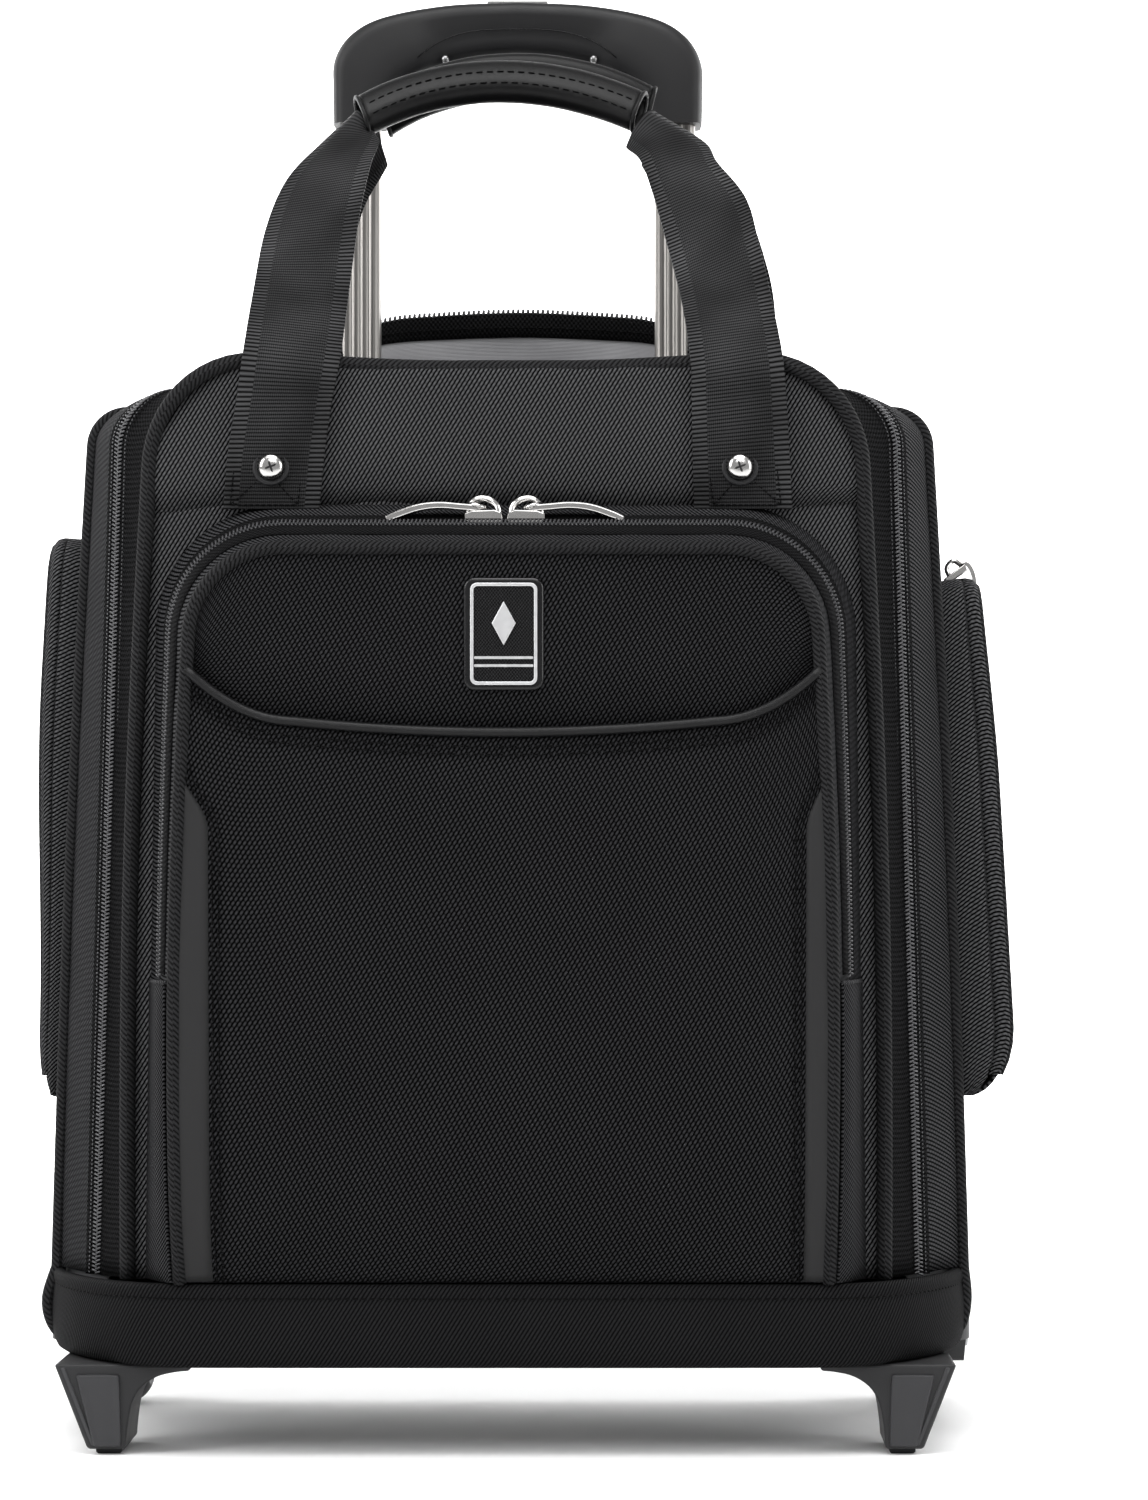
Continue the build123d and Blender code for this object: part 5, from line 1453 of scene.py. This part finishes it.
# Front feet ---
FOOT_FRONT, FOOT_BACK = -88.0, -45.0
FOOT_ARC = ((120.8, 32.2), (127, 31.6), (134, 29.8), (140, 25.6), (143.4, 19.5), (145.0, 11), (145.8, 2.2))
inner_line = [(p.x, p.z) for p in outline_through(FOOT_ARC)]
for side, name in SIDES:
    outline = [(side * x, z) for x, z in [(173.2, 34.8), (120.8, 34.8)] + inner_line + [(160.4, 2.2)]]
    replaced = ("front_feet",) if side < 0 else ()
    span = (FOOT_FRONT + 0.6, FOOT_BACK)
    prism_piece(name + "_foot", outline, span, FOOT_SHELL, "case", replaced, round_off=(1.3, 3))
    rows = []
    for t in even(0, 1, 14):
        row = []
        for s in even(-1, 1, 8):
            x = lerp(lerp(147.6, 148.2, t), lerp(157.6, 164.4, t), (s + 1) / 2)
            dish = 0.9 * (1 - s**8) * (1 - (2 * t - 1) ** 12)
            row.append(at(side * x, FOOT_FRONT - 0.9 + dish * 0.6, lerp(3.6, 30.6, t)))
        rows.append(row)
    face = grid_piece(name + "_foot_face", facing(side, rows), FOOT_PLASTIC, "case", thick=2.0)
    bevelled(face, 0.6, 3)
    section = (
        (-3.4, FOOT_FRONT - 0.2), (-0.8, FOOT_FRONT + 1.2), (0.5, FOOT_FRONT + 6), (0.5, FOOT_BACK - 4)
    )
    corners = zip(even(160.7, 172.6, 8), even(3.5, 33.5, 8))
    rows = [[at(side * (x + dx), y, z) for dx, y in section] for x, z in corners]
    cheek = grid_piece(name + "_foot_cheek", facing(side, rows), FOOT_PLASTIC, "case", thick=1.0)
    bevelled(cheek, 0.5, 2)

# Front pocket sliders and pulls ---
SLIDER_Y = -92.7
PLATES = (
    (1.0, 356.4), (14.2, 356.7), (15.4, 357.8), (15.2, 360.6), (12.4, 361.6), (4.0, 361.9),
    (1.4, 361.0), (0.8, 358.6)
)
GROOVE = ((1.4, 357.9), (15.5, 357.9), (15.5, 358.5), (1.4, 358.5))
BRIDGE = ((2.4, 359.4), (3.0, 363.4), (6.2, 366.0), (10.4, 366.2), (13.4, 363.6), (13.8, 359.2))
BLADE_TOP = ((9.2, 363.0), (11.6, 363.9), (17, 364.4), (25, 365.0), (33, 364.2), (41, 361.6), (45.8, 359.4))
BLADE_LOW = ((9.2, 361.0), (11.8, 361.4), (17, 361.8), (25, 362.4), (33, 361.4), (41, 358.7), (45.2, 357.2))


def across_slider(reach, extra=0.0):
    """The depths of a slider's part that reaches equally to both sides of the zipper."""
    return SLIDER_Y - reach - extra, SLIDER_Y + reach


for side, name in SIDES:
    plates, groove = ([(side * x, z) for x, z in part] for part in (PLATES, GROOVE))
    body = f"{name}_front_slider"
    prism_piece(
        name + "_slider_plates", plates, across_slider(4.2), CHROME, body, (body,), round_off=(0.5, 3)
    )
    depths = across_slider(4.3, 0.05)
    prism_piece(name + "_slider_groove", groove, depths, BADGE_BLACK, body, slot="chrome")
    bridge = curve_through([(side * x, SLIDER_Y, z) for x, z in BRIDGE], 22)
    cord_piece(name + "_slider_bridge", bridge, 1.4, CHROME, body)
    body = f"{name}_front_pull"
    blade = outline_through(BLADE_TOP) + outline_through(BLADE_LOW)[::-1]
    blade = [(side * p.x, p.z) for p in blade]
    prism_piece(name + "_pull_blade", blade, across_slider(3.5), CHROME, body, (body,), round_off=(0.6, 3))
    eye = [
        at(side * (10.4 + 3.0 * math.cos(a)), SLIDER_Y + 3.4 * math.sin(a), 363.4 + 0.8 * math.cos(a))
        for a in even(0, math.tau, 24)
    ]
    cord_piece(name + "_pull_eye", eye, 0.9, CHROME, body, sides=8)

# The right side pocket's slider stands on the pocket's top run, with its pull hanging outside
body = "right_side_slider"
plates = [(174.0, 341.4), (175.6, 339.2), (183.6, 344.6), (182.4, 347.6)]
prism_piece("right_side_slider_plates", plates, (5.6, 12.4), CHROME, body, (body,), round_off=(0.5, 3))
bridge = curve_through([(176.6, 9, 342.2), (175.4, 9, 346.0), (178.2, 9, 348.8), (181.8, 9, 346.6)], 16)
cord_piece("right_side_slider_bridge", bridge, 1.1, CHROME, body)
body = "right_side_pull"
hang = outline_through([(179.4, 346.6), (183.6, 348.2), (186.8, 343.0), (188.2, 331), (191.4, 314.2)])
tab = [(p.x, p.z) for p in hang] + [(p.x - 1.5, p.z - 0.8) for p in reversed(hang)]
prism_piece("right_side_pull_tab", tab, (6.2, 11.8), CHROME, body, (body,), round_off=(0.4, 2))

# Side pockets ---
TAPER = (186.0 - 166.0) / (410.0 - 66.0)
OUTWARD = at(1, 0, TAPER).normalized()
UPWARD = at(-OUTWARD.z, 0, OUTWARD.x)
POCKET_FOOT, POCKET_MIDDLE = 142.0, 35.0
POCKET_LENGTH, POCKET_WIDTH = 204.0 / OUTWARD.x, 100.0
LOOP_COUNT = 84
pocket_origin = at(186.0 - (POCKET_FOOT - 66.0) * TAPER, POCKET_MIDDLE, POCKET_FOOT)


def side_place(side, u, v, w):
    """A point by its place along, up and out from a side panel."""
    t = min(1.0, max(0.0, v / POCKET_LENGTH))
    if side < 0:
        fullness = lerp(0.3, 0.7, smooth(t / 0.75))
        v *= 1.045
    else:
        fullness = 0.96 - 0.14 * smooth((t - 0.55) / 0.45)
        v -= 7.0 * smooth((t - 0.76) / 0.24)
    if v < 20:
        fullness *= max(0.12, math.sqrt(1 - min(1.0, (20 - v) / 28.5) ** 2))
    p = pocket_origin + at(0, u, 0) + UPWARD * v + OUTWARD * (w * fullness if w > 0 else w)
    return at(side * p.x, p.y, p.z)


def pocket_loop(inset, low):
    """A side pocket's outline, from its front foot over its top to its rear foot, as (u, v)."""
    half, top = POCKET_WIDTH / 2 - inset, POCKET_LENGTH - inset
    radius = max(15.0 - inset * 0.6, 3.0)
    path = [Vector((-half, low))]
    for sign, first in ((-1, math.pi), (1, math.pi / 2)):
        centre = Vector((sign * (half - radius), top - radius))
        for a in even(first, first - math.pi / 2, 7):
            path.append(centre + radius * Vector((math.cos(a), math.sin(a))))
    return resampled(path + [Vector((half, low))], 7.0)


def even_loop(inset, low):
    """A side pocket's outline with a fixed number of even steps."""
    path = pocket_loop(inset, low)
    total = sum((b - a).length for a, b in zip(path, path[1:]))
    out, k, gone = [], 0, 0.0
    for want in even(0, total, LOOP_COUNT - 1):
        while k < len(path) - 2 and gone + (path[k + 1] - path[k]).length < want:
            gone += (path[k + 1] - path[k]).length
            k += 1
        span = (path[k + 1] - path[k]).length
        out.append(path[k].lerp(path[k + 1], min(1.0, (want - gone) / span)))
    return out


def side_cover_point(side, s, t):
    """A point on a side pocket's padded face, which hangs fullest in its lower half."""
    v = lerp(0.4, POCKET_LENGTH - 2.0, t)
    half = POCKET_WIDTH / 2 - 2.0
    corner = max(0.0, v - (POCKET_LENGTH - 2 - 13))
    if corner > 0:
        half -= 13 - math.sqrt(max(0.0, 169 - corner * corner))
    low_sag = math.exp(-(((t - 0.32) / 0.38) ** 2))
    puff = (1 - abs(s) ** 3.5) * (1 - abs(2 * t - 1) ** 5) * (2.0 + 3.6 * low_sag)
    puff *= 0.8 if side > 0 else 0.5
    return side_place(side, s * half, v, 19.2 + puff + 0.5 * ripple((side * 200, s * 50, v), 36, 84))


for side, name in SIDES:
    cover = f"{name}_side_cover"

    def loop_at(inset, w, low=0.0):
        return [side_place(side, p.x, p.y, w) for p in even_loop(inset, low)]

    def cloth(part, rows, body, thick, material=BLACK_FABRIC, replaces=()):
        """A sewn piece of this pocket, with its outside facing out."""
        label = f"{name}_pocket_{part}"
        return grid_piece(label, facing(side, rows), material, body, replaces, thick=thick)

    def across(half, count, v, w, rise=0.0):
        """A line across the pocket at one height and depth."""
        return [side_place(side, u * half, v, w + rise * (1 - u * u)) for u in even(-1, 1, count)]

    loops = [loop_at(i, w, -7.5) for i, w in ((0.2, -7), (-0.4, 1), (-0.9, 6), (-0.9, 9), (-0.6, 12.5))]
    grid_piece(
        name + "_pocket_gusset", swell(facing(side, loops), 0.6, 0.4, 18, 81), BLACK_FABRIC, "case",
        thick=1.2
    )
    rim = ((-0.6, 13.1), (-0.6, 15), (-0.2, 17.0), (0.8, 18.4), (2.4, 19.2))
    cloth("rim", [loop_at(inset, w) for inset, w in rim], cover, 1.2)
    face_rows = [[side_cover_point(side, s, t) for s in even(-1, 1, 24)] for t in even(0, 1, 30)]
    face = cloth("face", face_rows, cover, 1.4, replaces=(name + "_pocket_cover",))
    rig.padded(face, fill=0.5)
    cord_piece(name + "_pocket_cord", loop_at(2.2, 19.5), 1.7, ROPE, cover, sides=12)
    foot = ((-8, 10.5), (-8, 15), (-7.4, 17.8), (-6, 18.8), (-3.5, 19), (-0.4, 19))
    cloth("foot", [across(49.5, 20, v, w, 0.5) for v, w in foot], "case", 1.4)
    cloth("under", [across(49.5, 20, -8, w) for w in (-7, 3, 10.5)], "case", 1.0)
    zip_a, zip_b = facing(side, [loop_at(-0.7, 10.0), loop_at(-0.7, 16.0)])
    zip_middle = [a.lerp(b, 0.47) for a, b in zip(zip_a, zip_b)]
    frames = seam_frames(zip_middle, zip_b, COIL_PITCH, above(POCKET_FOOT + 3))
    for edge, label, body, span in ((-1, "case", "case", (6.0, 12.4)), (1, "cover", cover, (13.2, 15.6))):
        pills_piece(f"{name}_pocket_coil_{label}", coil_half(frames, edge), COIL, body)
        cloth("tape_" + label, [loop_at(-0.95, w) for w in span], body, 0.3, TAPE)
    inner_rows = [[p - at(side * 1.9, 0, 0) for p in row] for row in turned_round(facing(side, face_rows))]
    grid_piece(name + "_pocket_face_lining", inner_rows, LINING, cover)
    fold_cloth = cloth("fold", [across(47.5, 12, v, 18.3) for v in even(-5, 9, 12)], None, 0.8)
    ends = [tuple(side_place(side, 0, v, 18) * MM) for v in (-4, 8)]
    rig.blend(fold_cloth, "case", cover, start=ends[0], end=ends[1])

# Inside of the case ---
LINING_TOP, FLOOR_Z = 405.2, 41.6
lining_rings = []
for y, inset in ((-59.0, 28.0), (-24.0, 3.5), (0.0, 0.4), (30.0, 0.4), (60.4, 0.0)):
    low, high = 41 if inset < 20 else 68, LINING_TOP - inset * 0.12
    outline = arch(low, 181.0 - inset, high, 161.0 - inset * 0.55, 12 + inset * 0.3)
    lining_rings.append(ring(outline, y))
lining_rings = turned_round(lining_rings)
grid_piece("case_lining", swell(lining_rings, 1.2, 0.9, 40, 101), LINING, "case", ("interior_lining",))
for side, name in SIDES:
    corner = [(side * x, z) for x, z in ((139, 41.6), (180.2, 41.6), (180.2, 75.5), (139, 75.5))]
    prism_piece(name + "_housing_lining", corner, (50.4, 60.2), LINING, "case", round_off=(1.6, 3))


def divider_depth(x, z, t, s):
    return 60.3 - 0.7 * ripple((x, 0, z), 50, 104)


lining_line = arch(41, 181.0, LINING_TOP, 161.0, 12)
grid_piece("divider_lining", fill_rows(lining_line, divider_depth, inset=1.0), LINING, "case")
floor_rows = []
for y in (-84, -60, -40, -20, 0, 20, 40, 49):
    half = lerp(126, 176, min(1, max(0, (y + 84) / 60)))
    columns = enumerate(even(-half, half, 16))
    floor_rows.append([at(x, y, FLOOR_Z + 0.4 * ripple((j * 20, y, 0), 40, 107)) for j, x in columns])
grid_piece("floor_lining", floor_rows, LINING, "case")

# Carried-over CAD pieces: their materials and softened edges ---
FINISH = (
    (PLASTIC, ("base_tray", "handle_cup", "wheel_housings", "lock_plugs")),
    (BLACK_FABRIC, ("back_divider",)), (ALUMINIUM, ("outer_tubes",)),
    (TYRE_RUBBER, ("foot_glides", "left_tyre", "right_tyre")), (HUB_PLASTIC, ("left_hub", "right_hub")),
    (
        STEEL,
        ("wheel_axles", "base_screws", "grip_screws", "release_rods", "left_bearings", "right_bearings")
    ), (GUNMETAL, ("release_button",)),
    (CHROME, ("left_side_slider", "left_side_pull", "right_side_slider", "right_side_pull")),
    (CHROME, ("main_slider", "main_pull"))
)
SOFTEN = {
    "wheel_housings": 0.8, "handle_cup": 0.8, "release_button": 0.4, "left_hub": 0.3, "right_hub": 0.3
}
for material, names in FINISH:
    for name in names:
        node = frame["nodes"][name]
        node.data.materials.clear()
        node.data.materials.append(material)
        width = SOFTEN.get(name, 0.3 if material is CHROME else 0.0)
        if width:
            bevelled(node, width, 2, 30)

for obj, fill in (
    (pocket_face, 0.5), (upper_panel, 0.4), (lid_top_section, 0.4), (case_sides, 0.3), (gusset, 0.3)
):
    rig.padded(obj, fill=fill)

# Floor, light and camera ---
FLOOR = Recipe("studio_floor_white", grey(0.86, 0.0), 0.7)
FLOOR.tint(FLOOR.noise(FLOOR.place("Object"), 1.2, 2.0).between(0.99, 1.01))
sweep_profile = [(-3.6, 0.0), (2.6, 0.0)]
sweep_profile += [(2.6 + 1.2 * math.sin(a), 1.2 - 1.2 * math.cos(a)) for a in even(0, math.pi / 2, 12)]
sweep_profile.append((3.8, 5.5))
mesh = bpy.data.meshes.new("studio_sweep")
points = [(x, y, z) for y, z in sweep_profile for x in (-5.5, 5.5)]
mesh.from_pydata(points, [], [(k, k + 1, k + 3, k + 2) for k in range(0, len(points) - 2, 2)])
mesh.shade_smooth()
sweep = bpy.data.objects.new("studio_sweep", mesh)
sweep.data.materials.append(FLOOR.material)
scene.collection.objects.link(sweep)
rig.stage(sweep)

MIDDLE = (0, 0, 0.26)
# Each light's name, place, target, width and height in metres, and power
for name, place, target, size, power in (
    ("key_left", (-1.9, -1.1, 1.3), MIDDLE, (0.9, 1.5), 38),
    ("fill_right", (2.0, -1.0, 0.9), MIDDLE, (0.9, 1.4), 20),
    ("front_soft", (0.2, -2.6, 1.9), MIDDLE, (1.6, 1.0), 16),
    ("top_soft", (0, -0.7, 2.0), MIDDLE, (1.5, 1.0), 34),
    ("rim_left", (-1.5, 1.0, 1.1), MIDDLE, (0.8, 1.2), 24),
    ("rim_right", (1.5, 1.0, 1.1), MIDDLE, (0.8, 1.2), 24),
    ("backdrop", (0, 1.6, 1.7), (0, 3.6, 0.7), (2.8, 1.2), 190)
):
    data = bpy.data.lights.new(name, "AREA")
    data.shape, data.energy = "RECTANGLE", power
    data.size, data.size_y = size
    lamp = bpy.data.objects.new(name, data)
    lamp.location = place
    lamp.rotation_euler = (Vector(target) - Vector(place)).to_track_quat("-Z", "Y").to_euler()
    scene.collection.objects.link(lamp)
world = bpy.data.worlds.new("studio_world")
world.use_nodes = True
background = world.node_tree.nodes["Background"]
background.inputs["Color"].default_value = (1, 1, 1, 1)
background.inputs["Strength"].default_value = 0.42
scene.world = world

data = bpy.data.cameras.new("camera")
data.lens, data.sensor_width, data.sensor_fit, data.clip_end = 112.2, 36, "AUTO", 50
data.shift_x, data.shift_y = -0.0487, 0.0667
camera = bpy.data.objects.new("camera", data)
camera.location = (0.0543, -1.880, 0.232)
camera.rotation_euler = (math.pi / 2, 0, 0)
scene.collection.objects.link(camera)
scene.camera = camera
scene.view_settings.view_transform = "Standard"

with open("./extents.json", "w") as out:
    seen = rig.bounds()
    json.dump({"cad": [list(v) for v in cad_box], "visual": [list(v) for v in seen]}, out)
